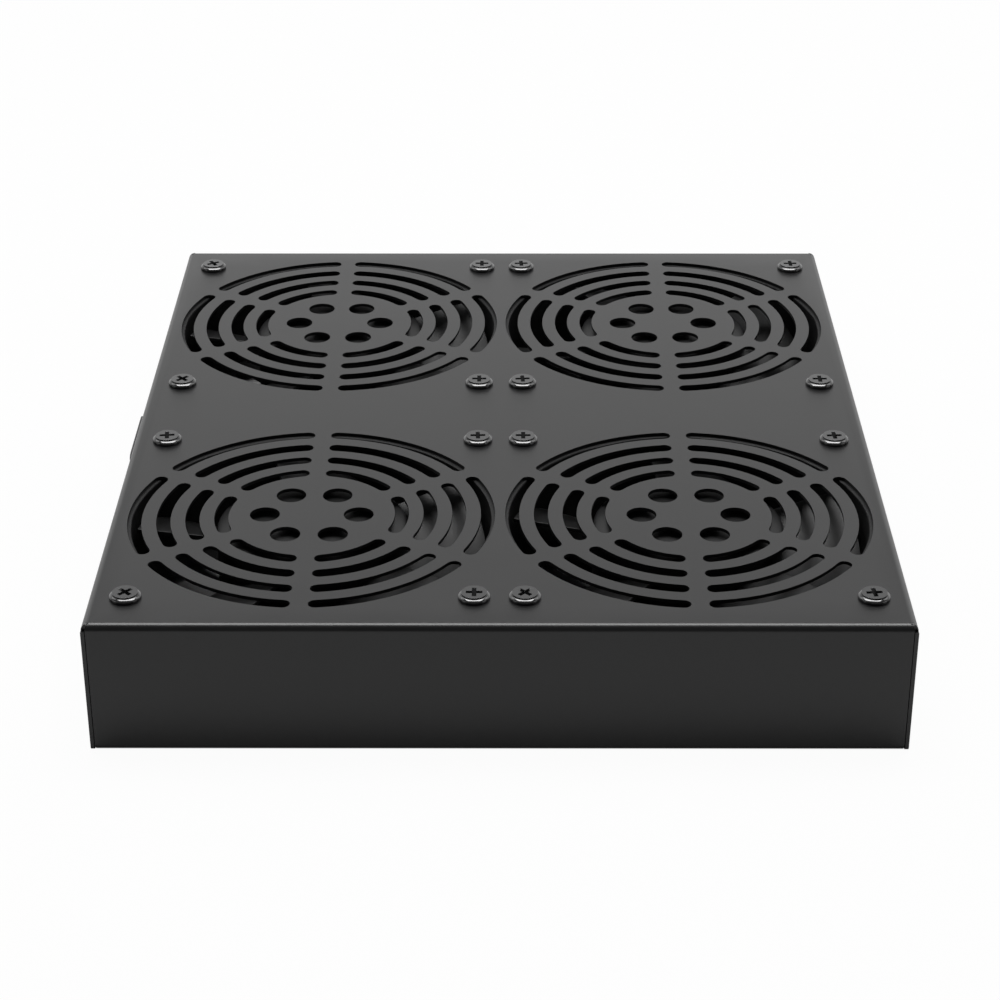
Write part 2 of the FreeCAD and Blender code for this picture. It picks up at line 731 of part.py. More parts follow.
def make_stator_coils():
    body = new_body("stator_coils")
    start = f"({core_bore} + core_ring + coil_play)"
    coil = new_sketch(
        body,
        "YZ_Plane",
        x="fan_pitch_y / 2",
        y=f"{fan_floor} + core_low + core_height / 2",
        z=f"fan_pitch_x / 2 + {start}",
    )
    across, tall = "pole_width / 2 + coil_play", "core_height / 2 + coil_play"
    box_outline(coil, f"-({across})", f"-({tall})", across, tall)
    wide, high = f"({across} + coil_build)", f"({tall} + coil_build)"
    box_outline(coil, f"-{wide}", f"-{high}", wide, high)
    # The winding ends short of the slanting side of its window.
    root, middle = f"sqrt({window_rim}^2 - (pole_width / 2)^2)", f"({window_rim} / sqrt(2))"
    share = f"({wide} - pole_width / 2) / ({middle} - pole_width / 2)"
    length = f"{root} - {share} * ({root} - {middle}) - coil_play - {start}"
    axis = new_sketch(body, **fan_place)
    axis.addGeometry(Part.Point(FreeCAD.Vector()), True)
    repeat(
        body,
        [pad(body, coil, length)],
        turned(body, (axis, ["N_Axis"]), 4),
        mirrored(body, "YZ_Plane"),
        mirrored(body, "XZ_Plane"),
    )
    return body


plug_middle_x = "(fan_pitch_x / 2 - plug_reach)"
plug_face_y = "(fan_pitch_y / 2 - fan_width / 2 + plug_inset)"


def make_fan_plugs():
    """The plugs on the fans' terminals, each in a corner pocket beside the wiring channel."""
    body = new_body("fan_plugs")
    plug = new_sketch(body, x=plug_middle_x, y=plug_face_y, z=f"{fan_floor} + fan_flange")
    box_outline(plug, "-plug_length / 2", "0", "plug_length / 2", "plug_depth")
    four_quarters(body, pad(body, plug, "plug_height"))
    return body


# --- the mains inlet ---

inlet_pins = [("0", "pin_step"), ("-pin_spread", "-pin_step"), ("pin_spread", "-pin_step")]
inlet_mouth = "(-pan_width / 2 - inlet_flange)"
inlet_back = "(-pan_width / 2 + inlet_depth)"


def pin_outlines(sketch, width, height):
    for across, up in inlet_pins:
        middle = f"({inlet_middle} + {up})"
        box_outline(
            sketch,
            f"{across} - {width} / 2",
            f"{middle} - {height} / 2",
            f"{across} + {width} / 2",
            f"{middle} + {height} / 2",
        )


def make_inlet():
    body = new_body("inlet_housing")
    flange = new_sketch(body, "YZ_Plane", z=inlet_mouth)
    box_outline(
        flange,
        "-inlet_width / 2",
        f"{inlet_middle} - inlet_height / 2",
        "inlet_width / 2",
        f"{inlet_middle} + inlet_height / 2",
    )
    pad(body, flange, "inlet_flange")
    block = new_sketch(body, "YZ_Plane", z=inlet_mouth)
    keyed_outline(block, "inlet_body / 2", "inlet_rise / 2")
    pad(body, block, "inlet_flange + inlet_depth")
    socket = new_sketch(body, "YZ_Plane", z=inlet_mouth)
    keyed_outline(socket, "(inlet_body / 2 - socket_wall)", "(inlet_rise / 2 - socket_wall)")
    pocket(body, socket, "socket_depth", reverse=True)
    slots = new_sketch(body, "YZ_Plane", z=inlet_mouth)
    pin_outlines(slots, "pin_width", "pin_height")
    body.Tip = pocket(body, slots, "inlet_flange + inlet_depth", reverse=True)
    return body


def make_inlet_pins():
    body = new_body("inlet_pins")
    pins = new_sketch(body, "YZ_Plane", z=f"{inlet_mouth} + pin_recess")
    pin_outlines(pins, "pin_width", "pin_height")
    pad(body, pins, "inlet_flange + inlet_depth - pin_recess")
    tabs = new_sketch(body, "YZ_Plane", z=inlet_back)
    pin_outlines(tabs, "tab_steel", "tab_height")
    pad(body, tabs, "tab_length")
    return body


# --- the terminal block, the earth stud and the leads, hung from the top in the channel between the fans ---

ceiling = "(pan_height - steel)"
block_floor = f"({ceiling} - block_height)"


def clamp_places():
    middle = "(block_left + block_length / 2)"
    for side in (-1, 1):
        for pole in (-1.5, -0.5, 0.5, 1.5):
            yield f"{middle} + {side} * clamp_pitch_x / 2", f"{pole} * clamp_pitch_y"


def make_terminal_block():
    body = new_body("terminal_block")
    block = new_sketch(body, z=block_floor)
    box_outline(block, "block_left", "-block_width / 2", "block_left + block_length", "block_width / 2")
    pad(body, block, "block_height")
    recess = new_sketch(body, z=block_floor)
    for x, y in clamp_places():
        polygon(recess, x, y, "(clamp_width / 2 + thread_play)", shank_sides)
    body.Tip = pocket(body, recess, "clamp_depth", reverse=True)
    return body


def make_terminal_screws():
    body = new_body("terminal_screws")
    heads = new_sketch(body, z=f"{block_floor} + clamp_depth")
    for x, y in clamp_places():
        polygon(heads, x, y, "clamp_width / 2", shank_sides)
    pad(body, heads, "clamp_height", reverse=True)
    return body


def make_earth_stud():
    body = new_body("earth_stud")
    stud = new_sketch(body, x="stud_x", y="stud_y", z=ceiling)
    polygon(stud, "0", "0", "screw_thread / 2", shank_sides)
    pad(body, stud, "stud_length", reverse=True)
    return body


ring_top = f"({ceiling} - nut_height)"


def make_earth_nuts():
    """One nut clamps the stud's root, the other holds the ring terminal against it."""
    body = new_body("earth_nuts")
    for top in (ceiling, f"{ring_top} - ring_steel"):
        nut = new_sketch(body, x="stud_x", y="stud_y", z=top)
        hexagon(nut)
        pad(body, nut, "nut_height", reverse=True)
    return body


def make_earth_ring():
    body = new_body("earth_ring")
    ring = new_sketch(body, x="stud_x", y="stud_y", z=ring_top)
    polygon(ring, "0", "0", "ring_width / 2", head_sides)
    polygon(ring, "0", "0", "(screw_thread / 2 + thread_play)", shank_sides)
    pad(body, ring, "ring_steel", reverse=True)
    neck = new_sketch(body, y="stud_y", z=ring_top)
    root, half = "stud_x - ring_width / 2", "barrel_width / 2"
    box_outline(neck, f"{root} - 2 * ring_neck", f"-{half}", f"{root} + ring_neck", half)
    pad(body, neck, "ring_steel", reverse=True)
    middle = f"{ring_top} - ring_steel / 2"
    barrel = new_sketch(body, "YZ_Plane", x="stud_y", y=middle, z=f"{root} - ring_neck")
    polygon(barrel, "0", "0", half, shank_sides)
    pad(body, barrel, "barrel_length", reverse=True)
    return body


def make_leads(label, routes, width):
    """Six-sided leads swept along straight runs joined by tangent arcs, each arc in even chords."""
    solids = []
    for route in routes:
        points = [FreeCAD.Vector(*point) for point in route]
        path = points[:1]
        for before, here, after in zip(points, points[1:], points[2:]):
            back, ahead = before - here, after - here
            half_turn = (math.pi - back.getAngle(ahead)) / 2
            reach = 0.45 * min(back.Length, ahead.Length)
            radius = reach / math.tan(half_turn)
            print(label, "bend radius", round(radius, 1))
            back.normalize()
            ahead.normalize()
            middle = here + (back + ahead).normalize() * (radius / math.cos(half_turn))
            outward, onward = (here - middle).normalize(), (ahead - back).normalize()
            for k in range(bend_sides + 1):
                turn = half_turn * (2 * k / bend_sides - 1)
                path.append(middle + (outward * math.cos(turn) + onward * math.sin(turn)) * radius)
        path.append(points[-1])
        along = points[1] - points[0]
        out = FreeCAD.Vector(-along.y, along.x, 0).normalize() * (width / 2)
        ring = [points[0] + FreeCAD.Rotation(along, 60 * k).multVec(out) for k in range(6)]
        section = Part.makePolygon(ring + ring[:1])
        spine = Part.makePolygon(path)
        solid = spine.makePipeShell([section], True, False, 1)
        expected = math.sin(math.pi / 3) * 3 * (width / 2) ** 2 * spine.Length
        if abs(solid.Volume / expected - 1) > 0.05:
            raise RuntimeError(f"{label}: volume {solid.Volume} is not {expected}")
        solids.append(solid)
    lead = doc.addObject("Part::Feature", "Lead")
    lead.Label = label
    lead.Shape = Part.Compound(solids) if len(solids) > 1 else solids[0]
    return lead


def make_all_leads():
    tab_end = size(f"{inlet_back} + tab_length")
    low_pin, high_pin = size(f"{inlet_middle} - pin_step"), size(f"{inlet_middle} + pin_step")
    spread, pole = size("pin_spread"), size("clamp_pitch_y / 2")
    block_start, block_end = size("block_left"), size("block_left + block_length")
    level = size(f"{block_floor} + block_height / 2")
    barrel = FreeCAD.Vector(
        size("stud_x - ring_width / 2 - ring_neck - barrel_length"),
        size("stud_y"),
        size(f"{ring_top} - ring_steel / 2"),
    )
    plug_x, plug_y = size(plug_middle_x), size(plug_face_y)
    plug_z = size(f"{fan_floor} + fan_flange + plug_height / 2")

    def supply(side):
        return [
            (tab_end, side * spread, low_pin),
            (tab_end + 11, side * spread, low_pin),
            (block_start - 10, side * pole, level),
            (block_start, side * pole, level),
        ]

    def to_fan(side, end):
        pole_y = end * pole * (3 if side < 0 else 1)
        return [
            (block_end, pole_y, level),
            (side * plug_x - 13, pole_y, level),
            (side * plug_x, end * (plug_y - 12), plug_z),
            (side * plug_x, end * plug_y, plug_z),
        ]

    earth = [
        (tab_end, 0, high_pin),
        (tab_end + 7, 0, high_pin),
        (barrel.x - 7, barrel.y, barrel.z),
        tuple(barrel),
    ]
    lead, cable = size("lead_width"), size("cable_width")
    return [
        make_leads("live_lead", [supply(-1)], lead),
        make_leads("neutral_lead", [supply(1)], lead),
        make_leads("earth_lead", [earth], lead),
        make_leads("fan_cables", [to_fan(side, end) for side, end, turn in fans.values()], cable),
    ]


nodes = [make_pan(), make_fan_screws(), make_fan_nuts()]
for fan in fans:
    nodes += [make_frame(fan), make_impeller(fan), make_shaft(fan), make_clip(fan)]
nodes += [make_bearings(), make_stator_cores(), make_stator_coils(), make_fan_plugs()]
nodes += [make_inlet(), make_inlet_pins(), make_terminal_block(), make_terminal_screws()]
nodes += [make_earth_stud(), make_earth_nuts(), make_earth_ring()]
nodes += make_all_leads()
doc.recompute()

for item in doc.Objects:
    if {"Invalid", "Error"} & set(item.State):
        raise RuntimeError(f"{item.Name} ({item.Label}) failed: {item.State}")
    if item.TypeId in ("PartDesign::Pocket", "PartDesign::Groove"):
        if item.Shape.Volume >= item.BaseFeature.Shape.Volume:
            raise RuntimeError(f"{item.Name} cuts nothing")

os.makedirs("parts", exist_ok=True)
for node in nodes:
    if node.Shape.isNull() or not node.Shape.isValid():
        raise RuntimeError(f"{node.Label} has no valid shape")
    node.Shape.exportStep(f"parts/{node.Label}.step")
    print(node.Label, len(node.Shape.Solids), "solids", round(node.Shape.Volume), "mm3")
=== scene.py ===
import math
import bmesh
import bpy
from mathutils import Matrix, Quaternion, Vector


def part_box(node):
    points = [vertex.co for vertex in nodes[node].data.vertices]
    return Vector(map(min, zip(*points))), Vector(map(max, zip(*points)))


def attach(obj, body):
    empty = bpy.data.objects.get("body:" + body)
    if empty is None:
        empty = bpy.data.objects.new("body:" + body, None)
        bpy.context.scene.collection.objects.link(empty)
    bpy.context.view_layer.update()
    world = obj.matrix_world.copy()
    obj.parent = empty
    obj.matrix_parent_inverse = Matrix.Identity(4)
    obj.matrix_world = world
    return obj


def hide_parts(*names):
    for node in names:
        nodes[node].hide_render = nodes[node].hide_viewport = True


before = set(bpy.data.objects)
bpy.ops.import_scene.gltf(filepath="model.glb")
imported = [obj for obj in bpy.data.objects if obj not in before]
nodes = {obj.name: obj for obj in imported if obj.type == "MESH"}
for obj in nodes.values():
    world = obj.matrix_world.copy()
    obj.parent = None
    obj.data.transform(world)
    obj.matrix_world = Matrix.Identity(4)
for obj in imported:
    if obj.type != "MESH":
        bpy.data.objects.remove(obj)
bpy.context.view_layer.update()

mm = 0.001
weld = 0.001 * mm             # corners nearer than this become one

# The four fans, each with the angle in degrees at which its impeller stands.
fanTurns = {"front_left": 14.0, "front_right": 6.5, "rear_left": 13.5, "rear_right": 30.5}


def newObject(name, data):
    piece = bpy.data.objects.new(name, data)
    bpy.context.scene.collection.objects.link(piece)
    return piece


def meshFrom(bm, name):
    mesh = bpy.data.meshes.new(name)
    bm.to_mesh(mesh)
    bm.free()
    return mesh


# Empties one bmesh into another.
def pourInto(target, source):
    mesh = meshFrom(source, "poured")
    target.from_mesh(mesh)
    bpy.data.meshes.remove(mesh)


# Merges doubles, then turns every face outwards.
def closeShell(bm, nearest=weld):
    bmesh.ops.remove_doubles(bm, verts=bm.verts, dist=nearest)
    bmesh.ops.recalc_face_normals(bm, faces=bm.faces)


# An open line through the given points; gives its vertices and edges.
def drawLine(bm, points):
    line = [bm.verts.new(point) for point in points]
    return line + [bm.edges.new(pair) for pair in zip(line, line[1:])]


# A closed outline of straight runs between the given corners.
def cornerLoop(bm, corners):
    made = [bm.verts.new((x, y, 0)) for x, y in corners]
    for start, end in zip(made, made[1:] + made[:1]):
        bm.edges.new((start, end))


def roundLoop(bm, x, y, radius, segments):
    bmesh.ops.create_circle(bm, cap_ends=False, segments=segments, radius=radius,
                            matrix=Matrix.Translation((x, y, 0)))


# A straight run from a vertex to a new place; gives the vertex made there.
def runTo(bm, vertex, x, y):
    after = bm.verts.new((x, y, 0))
    bm.edges.new((vertex, after))
    return after


# An arc from a vertex about a centre in its own plane; gives the last vertex.
def sweepVertex(bm, vertex, centre, degrees, steps):
    swept = bmesh.ops.spin(bm, geom=[vertex], cent=(centre[0], centre[1], 0), axis=(0, 0, 1),
                           dvec=(0, 0, 0), angle=math.radians(degrees), steps=steps)
    return swept["geom_last"][0]


# A profile of radii and heights, turned once round the upright axis.
def latheInto(bm, profile, steps):
    bmesh.ops.spin(bm, geom=drawLine(bm, [(x, 0, z) for x, z in profile]), cent=(0, 0, 0), axis=(0, 0, 1),
                   dvec=(0, 0, 0), angle=math.tau, steps=steps, use_merge=True)


# Cuts one object's shape out of another; the tool is used up.
def cutAway(piece, tool, materialMode="INDEX"):
    cut = piece.modifiers.new("cut", "BOOLEAN")
    cut.operation = "DIFFERENCE"
    cut.solver = "EXACT"
    cut.use_self = True
    cut.material_mode = materialMode
    cut.object = tool
    graph = bpy.context.evaluated_depsgraph_get()
    finished = bpy.data.meshes.new_from_object(piece.evaluated_get(graph))
    piece.modifiers.clear()
    piece.data = finished
    toolMesh = tool.data
    bpy.data.objects.remove(tool)
    bpy.data.meshes.remove(toolMesh)


def smoothByAngle(mesh, degrees):
    mesh.shade_smooth()
    mesh.set_sharp_from_angle(angle=math.radians(degrees))


# A narrow bevel on every edge that is sharper than the given angle.
def addBevel(piece, width, degrees):
    bevel = piece.modifiers.new("rims", "BEVEL")
    bevel.width = width
    bevel.segments = 2
    bevel.limit_method = "ANGLE"
    bevel.angle_limit = math.radians(degrees)
    bevel.harden_normals = True


def dress(piece, *finishNames):
    piece.data.materials.clear()
    for name in finishNames:
        piece.data.materials.append(finishes[name])


def finishPiece(piece, body, node):
    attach(piece, body)
    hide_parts(node)


# A fan's axis, at the level of its frame's foot.
def fanAxis(fan):
    low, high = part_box(f"{fan}_frame")
    return Vector(((low[0] + high[0]) / 2, (low[1] + high[1]) / 2, low[2]))


def newGroup(name, inputs, outputs):
    group = bpy.data.node_groups.new(name, "ShaderNodeTree")
    for socket, kind, value in inputs:
        group.interface.new_socket(name=socket, in_out="INPUT", socket_type=kind).default_value = value
    for socket, kind in outputs:
        group.interface.new_socket(name=socket, in_out="OUTPUT", socket_type=kind)
    return group, group.nodes.new("NodeGroupInput").outputs, group.nodes.new("NodeGroupOutput").inputs


def addMath(tree, operation, first, second=0.0):
    node = tree.nodes.new("ShaderNodeMath")
    node.operation = operation
    for socket, value in zip(node.inputs, (first, second)):
        if isinstance(value, (int, float)):
            socket.default_value = value
        else:
            tree.links.new(value, socket)
    return node.outputs[0]


def addNoise(tree, place, scale, detail):
    node = tree.nodes.new("ShaderNodeTexNoise")
    node.inputs["Detail"].default_value = detail
    tree.links.new(place, node.inputs["Vector"])
    tree.links.new(scale, node.inputs["Scale"])
    return node.outputs["Fac"]


# A value between 0 and 1, moved to lie about 0 and scaled by an amount.
def aboutZero(tree, value, amount):
    return addMath(tree, "MULTIPLY", addMath(tree, "SUBTRACT", value, 0.5), amount)


def tint(tree, colour, amount):
    mix = tree.nodes.new("ShaderNodeMix")
    mix.data_type = "RGBA"
    mix.blend_type = "MULTIPLY"
    mix.inputs["Factor"].default_value = 1.0
    tree.links.new(colour, mix.inputs["A"])
    grey = tree.nodes.new("ShaderNodeCombineColor")
    for socket in grey.inputs:
        tree.links.new(amount, socket)
    tree.links.new(grey.outputs[0], mix.inputs["B"])
    return mix.outputs["Result"]


grainPattern = {
    "fineDetail": 3.0,
    "wideDetail": 2.0,
    "wideShare": 0.02,        # scale of the wide patches as a share of the fine grain's
}


# Fine relief, patches of slightly other gloss and a faint mottle in the colour.
def makeGrainGroup():
    group, given, made = newGroup(
        "surfaceGrain",
        [("Place", "NodeSocketVector", (0, 0, 0)), ("Colour", "NodeSocketColor", (0.5, 0.5, 0.5, 1)),
         ("Roughness", "NodeSocketFloat", 0.5), ("Grain", "NodeSocketFloat", 2000.0),
         ("Mottle", "NodeSocketFloat", 0.1), ("Patch", "NodeSocketFloat", 0.05)],
        [("Colour", "NodeSocketColor"), ("Roughness", "NodeSocketFloat"), ("Height", "NodeSocketFloat")],
    )
    wideScale = addMath(group, "MULTIPLY", given["Grain"], grainPattern["wideShare"])
    fine = addNoise(group, given["Place"], given["Grain"], grainPattern["fineDetail"])
    wide = addNoise(group, given["Place"], wideScale, grainPattern["wideDetail"])
    spread = aboutZero(group, wide, given["Mottle"])
    speck = aboutZero(group, fine, given["Mottle"])
    shade = addMath(group, "ADD", addMath(group, "ADD", spread, speck), 1.0)
    group.links.new(tint(group, given["Colour"], shade), made["Colour"])
    patch = aboutZero(group, wide, given["Patch"])
    group.links.new(addMath(group, "ADD", given["Roughness"], patch), made["Roughness"])
    group.links.new(fine, made["Height"])
    return group


brushPattern = {
    "stretch": (0.05, 0.05, 1.0),
    "detail": 2.0,
}


# Thin parallel scratches round the upright axis, as turning, grinding or lamination leaves them.
def makeBrushedGroup():
    group, given, made = newGroup(
        "brushed",
        [("Place", "NodeSocketVector", (0, 0, 0)), ("Colour", "NodeSocketColor", (0.5, 0.5, 0.5, 1)),
         ("Roughness", "NodeSocketFloat", 0.4), ("Lines", "NodeSocketFloat", 3000.0),
         ("Contrast", "NodeSocketFloat", 0.2)],
        [("Colour", "NodeSocketColor"), ("Roughness", "NodeSocketFloat"), ("Height", "NodeSocketFloat")],
    )
    mapping = group.nodes.new("ShaderNodeMapping")
    mapping.inputs["Scale"].default_value = brushPattern["stretch"]
    group.links.new(given["Place"], mapping.inputs["Vector"])
    lines = addNoise(group, mapping.outputs[0], given["Lines"], brushPattern["detail"])
    scratch = aboutZero(group, lines, given["Contrast"])
    group.links.new(tint(group, given["Colour"], addMath(group, "ADD", scratch, 1.0)), made["Colour"])
    group.links.new(addMath(group, "ADD", given["Roughness"], scratch), made["Roughness"])
    group.links.new(lines, made["Height"])
    return group


grainGroup = makeGrainGroup()
brushedGroup = makeBrushedGroup()

# Colour, depth of the relief in mm, then the sockets of the shader and of the group.
finishValues = {
    "powderCoat": dict(colour=(0.005, 0.005, 0.0052), bump=0.008, specular=0.45,
                       roughness=0.31, grain=2600.0, mottle=0.25, patch=0.06),
    "screwBlack": dict(colour=(0.012, 0.012, 0.0125), bump=0.002, specular=1.0,
                       roughness=0.14, grain=1800.0, mottle=0.2, patch=0.06),
    # Painted shade: the walls of the cross recess get a darker and duller black than the screw itself,
    # standing in for the shade inside the recess.
    "recessPaintedShade": dict(colour=(0.002, 0.002, 0.002), bump=0.002, specular=0.05,
                        roughness=0.8, grain=1800.0, mottle=0.2, patch=0.1),
    "castBlack": dict(colour=(0.005, 0.005, 0.0052), bump=0.03, specular=0.2,
                      roughness=0.55, grain=1500.0, mottle=0.3, patch=0.1),
    "mouldedBlack": dict(colour=(0.006, 0.006, 0.0062), bump=0.01, specular=0.28,
                         roughness=0.44, grain=2200.0, mottle=0.15, patch=0.08),
    "inletBlack": dict(colour=(0.016, 0.016, 0.0165), bump=0.015,
                       roughness=0.55, grain=2500.0, mottle=0.2, patch=0.05),
    "plugBlack": dict(colour=(0.02, 0.02, 0.02), bump=0.01,
                      roughness=0.5, grain=2000.0, mottle=0.15, patch=0.05),
    "ivory": dict(colour=(0.72, 0.68, 0.58), bump=0.008,
                  roughness=0.45, grain=1500.0, mottle=0.06, patch=0.08),
    "zinc": dict(colour=(0.62, 0.63, 0.65), bump=0.004, metallic=1.0,
                 roughness=0.34, grain=900.0, mottle=0.25, patch=0.2),
    "nickel": dict(colour=(0.68, 0.66, 0.62), bump=0.002, metallic=1.0,
                   roughness=0.22, grain=800.0, mottle=0.1, patch=0.1),
    "groundSteel": dict(colour=(0.58, 0.58, 0.6), bump=0.003, metallic=1.0, group=brushedGroup,
                        roughness=0.28, lines=2500.0, contrast=0.25),
    "laminated": dict(colour=(0.2, 0.2, 0.21), bump=0.06, metallic=1.0, group=brushedGroup,
                      roughness=0.5, lines=2000.0, contrast=0.5),
    "copperWire": dict(colour=(0.62, 0.26, 0.1), bump=0.08, metallic=1.0, group=brushedGroup,
                       roughness=0.35, lines=2500.0, contrast=0.4),
    "leadBrown": dict(colour=(0.13, 0.05, 0.022), bump=0.01,
                      roughness=0.42, grain=2500.0, mottle=0.1, patch=0.05),
    "leadBlue": dict(colour=(0.02, 0.08, 0.35), bump=0.01,
                     roughness=0.42, grain=2500.0, mottle=0.1, patch=0.05),
    "leadGreen": dict(colour=(0.08, 0.3, 0.04), bump=0.01,
                      roughness=0.42, grain=2500.0, mottle=0.1, patch=0.05),
    "cableBlack": dict(colour=(0.02, 0.02, 0.02), bump=0.015,
                       roughness=0.5, grain=2500.0, mottle=0.1, patch=0.05),
}


# A finish is a Principled shader whose colour, gloss and relief come from one of the groups.
def makeFinish(name, colour, bump, metallic=0.0, specular=0.5, group=grainGroup, **groupValues):
    material = bpy.data.materials.new(name)
    material.use_nodes = True
    material.diffuse_color = (*colour, 1)
    tree = material.node_tree
    shader = tree.nodes["Principled BSDF"]
    shader.inputs["Metallic"].default_value = metallic
    shader.inputs["Specular IOR Level"].default_value = specular
    pattern = tree.nodes.new("ShaderNodeGroup")
    pattern.node_tree = group
    tree.links.new(tree.nodes.new("ShaderNodeTexCoord").outputs["Object"], pattern.inputs["Place"])
    pattern.inputs["Colour"].default_value = (*colour, 1)
    for socket, value in groupValues.items():
        pattern.inputs[socket.capitalize()].default_value = value
    relief = tree.nodes.new("ShaderNodeBump")
    relief.inputs["Strength"].default_value = 1.0
    relief.inputs["Distance"].default_value = bump * mm
    tree.links.new(pattern.outputs["Height"], relief.inputs["Height"])
    tree.links.new(pattern.outputs["Colour"], shader.inputs["Base Color"])
    tree.links.new(pattern.outputs["Roughness"], shader.inputs["Roughness"])
    tree.links.new(relief.outputs["Normal"], shader.inputs["Normal"])
    return material


finishes = {name: makeFinish(name, **values) for name, values in finishValues.items()}
print("finishes made")


# The folded pan is one sheet, cut and folded, then given its thickness.
panSheet = {
    "steel": 1.2 * mm,
    "bend": 2.4 * mm,
    "bendSteps": 10,
    "cornerGap": 0.2 * mm,
    "lip": 9.2 * mm,
    "wallRound": 1.5 * mm,
    "wallRoundSteps": 6,
    "seam": 0.01 * mm,        # panels and folds meet within this
    "rim": 0.25 * mm,
    "rimAngle": 50,
    "rings": [28.8 * mm, 37.97 * mm, 47.14 * mm, 56.31 * mm],
    "slot": 4.5 * mm,
    "slotEndSteps": 8,
    "slotStep": 4 * mm,       # a slot's arcs take one step for each such part of their radius
    "slotLeastSteps": 8,
    "rib": 5.3 * mm,
    "spokes": 6,
    "ventCircle": 15.0 * mm,
    "vent": 9.6 * mm,
    "ventSteps": 28,
    "screwPitch": 105.0 * mm,
    "screwHole": 4.5 * mm,
    "screwHoleSteps": 20,
    "fixingPitch": (200.0 * mm, 277.2 * mm),
    "fixing": 4.5 * mm,
    "fixingSteps": 28,
    "inletHole": (27.4 * mm, 20.4 * mm, 4.0 * mm),      # width, height and cut corners
}
cornerRelief = panSheet["steel"] + panSheet["cornerGap"]    # how far the folds stop short of the corners


# Fills the loops of a flat panel, holes left open, and adds it to the sheet in its place.
def addPanel(sheet, panel, place):
    bmesh.ops.remove_doubles(panel, verts=panel.verts, dist=weld)
    bmesh.ops.triangle_fill(panel, use_beauty=True, use_dissolve=False, edges=panel.edges, normal=(0, 0, 1))
    bmesh.ops.transform(panel, matrix=place, verts=panel.verts)
    pourInto(sheet, panel)


# A slot between two spokes: outer arc, round end, inner arc, round end.
def cutSlot(bm, fan, radius, middle):
    half = panSheet["slot"] / 2
    reach = math.radians(180 / panSheet["spokes"]) - math.asin(panSheet["rib"] / 2 / radius) - half / radius
    steps = max(panSheet["slotLeastSteps"], round(radius / panSheet["slotStep"]))

    def at(distance, turn):
        return fan.x + distance * math.cos(turn), fan.y + distance * math.sin(turn)

    start = bm.verts.new((*at(radius + half, middle - reach), 0))
    arc = math.degrees(2 * reach)
    corner = sweepVertex(bm, start, fan, arc, steps)
    corner = sweepVertex(bm, corner, at(radius, middle + reach), 180, panSheet["slotEndSteps"])
    corner = sweepVertex(bm, corner, fan, -arc, steps)
    sweepVertex(bm, corner, at(radius, middle - reach), 180, panSheet["slotEndSteps"])


def cutGrille(bm, fan):
    for spoke in range(panSheet["spokes"]):
        middle = math.radians(360 * spoke / panSheet["spokes"])
        for radius in panSheet["rings"]:
            cutSlot(bm, fan, radius, middle)
        x = fan.x + panSheet["ventCircle"] * math.cos(middle)
        y = fan.y + panSheet["ventCircle"] * math.sin(middle)
        roundLoop(bm, x, y, panSheet["vent"] / 2, panSheet["ventSteps"])
    pitch = panSheet["screwPitch"]
    for side in (-0.5, 0.5):
        for end in (-0.5, 0.5):
            roundLoop(bm, fan.x + side * pitch, fan.y + end * pitch, panSheet["screwHole"] / 2,
                      panSheet["screwHoleSteps"])


# A line of points folded through a quarter turn.
def foldLine(bm, points, centre, axis, degrees):
    bmesh.ops.spin(bm, geom=drawLine(bm, points), cent=centre, axis=axis, dvec=(0, 0, 0),
                   angle=math.radians(degrees), steps=panSheet["bendSteps"])


# A side wall drawn flat: x runs front to rear, y upwards.
def drawWall(bm, halfDepth, top, cutInlet):
    bend, turn, steps = panSheet["bend"], panSheet["wallRound"], panSheet["wallRoundSteps"]
    first = bm.verts.new((-halfDepth, top - bend, 0))
    corner = first
    for x in (-halfDepth + cornerRelief, -halfDepth + bend, halfDepth - bend, halfDepth - cornerRelief,
              halfDepth):
        corner = runTo(bm, corner, x, top - bend)
    corner = runTo(bm, corner, halfDepth, turn)
    corner = sweepVertex(bm, corner, (halfDepth - turn, turn), -90, steps)
    corner = runTo(bm, corner, -halfDepth + turn, 0)
    corner = sweepVertex(bm, corner, (-halfDepth + turn, turn), -90, steps)
    bm.edges.new((corner, first))
    if cutInlet:
        wide, tall, cut = panSheet["inletHole"]
        low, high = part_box("inlet_housing")
        middle = (low[2] + high[2]) / 2
        right, upper, lower = wide / 2, middle + tall / 2, middle - tall / 2
        cornerLoop(bm, [(-right, lower), (right, lower), (right, upper - cut), (right - cut, upper),
                        (-right + cut, upper), (-right, upper - cut)])


# One side wall and the fold above it; the inlet's hole is in the left one.
def addWall(sheet, side, halfWidth, halfDepth, top):
    bend = panSheet["bend"]
    x, y, wallEnd = side * (halfWidth - bend), halfDepth - bend, halfDepth - cornerRelief
    foldLine(sheet, [(x, place, top) for place in (-wallEnd, -y, y, wallEnd)],
             (x, 0, top - bend), (0, 1, 0), side * 90)
    panel = bmesh.new()
    drawWall(panel, halfDepth, top, side < 0)
    upright = Matrix(((0, 0, 1, side * halfWidth), (1, 0, 0, 0), (0, 1, 0, 0), (0, 0, 0, 1)))
    addPanel(sheet, panel, upright)


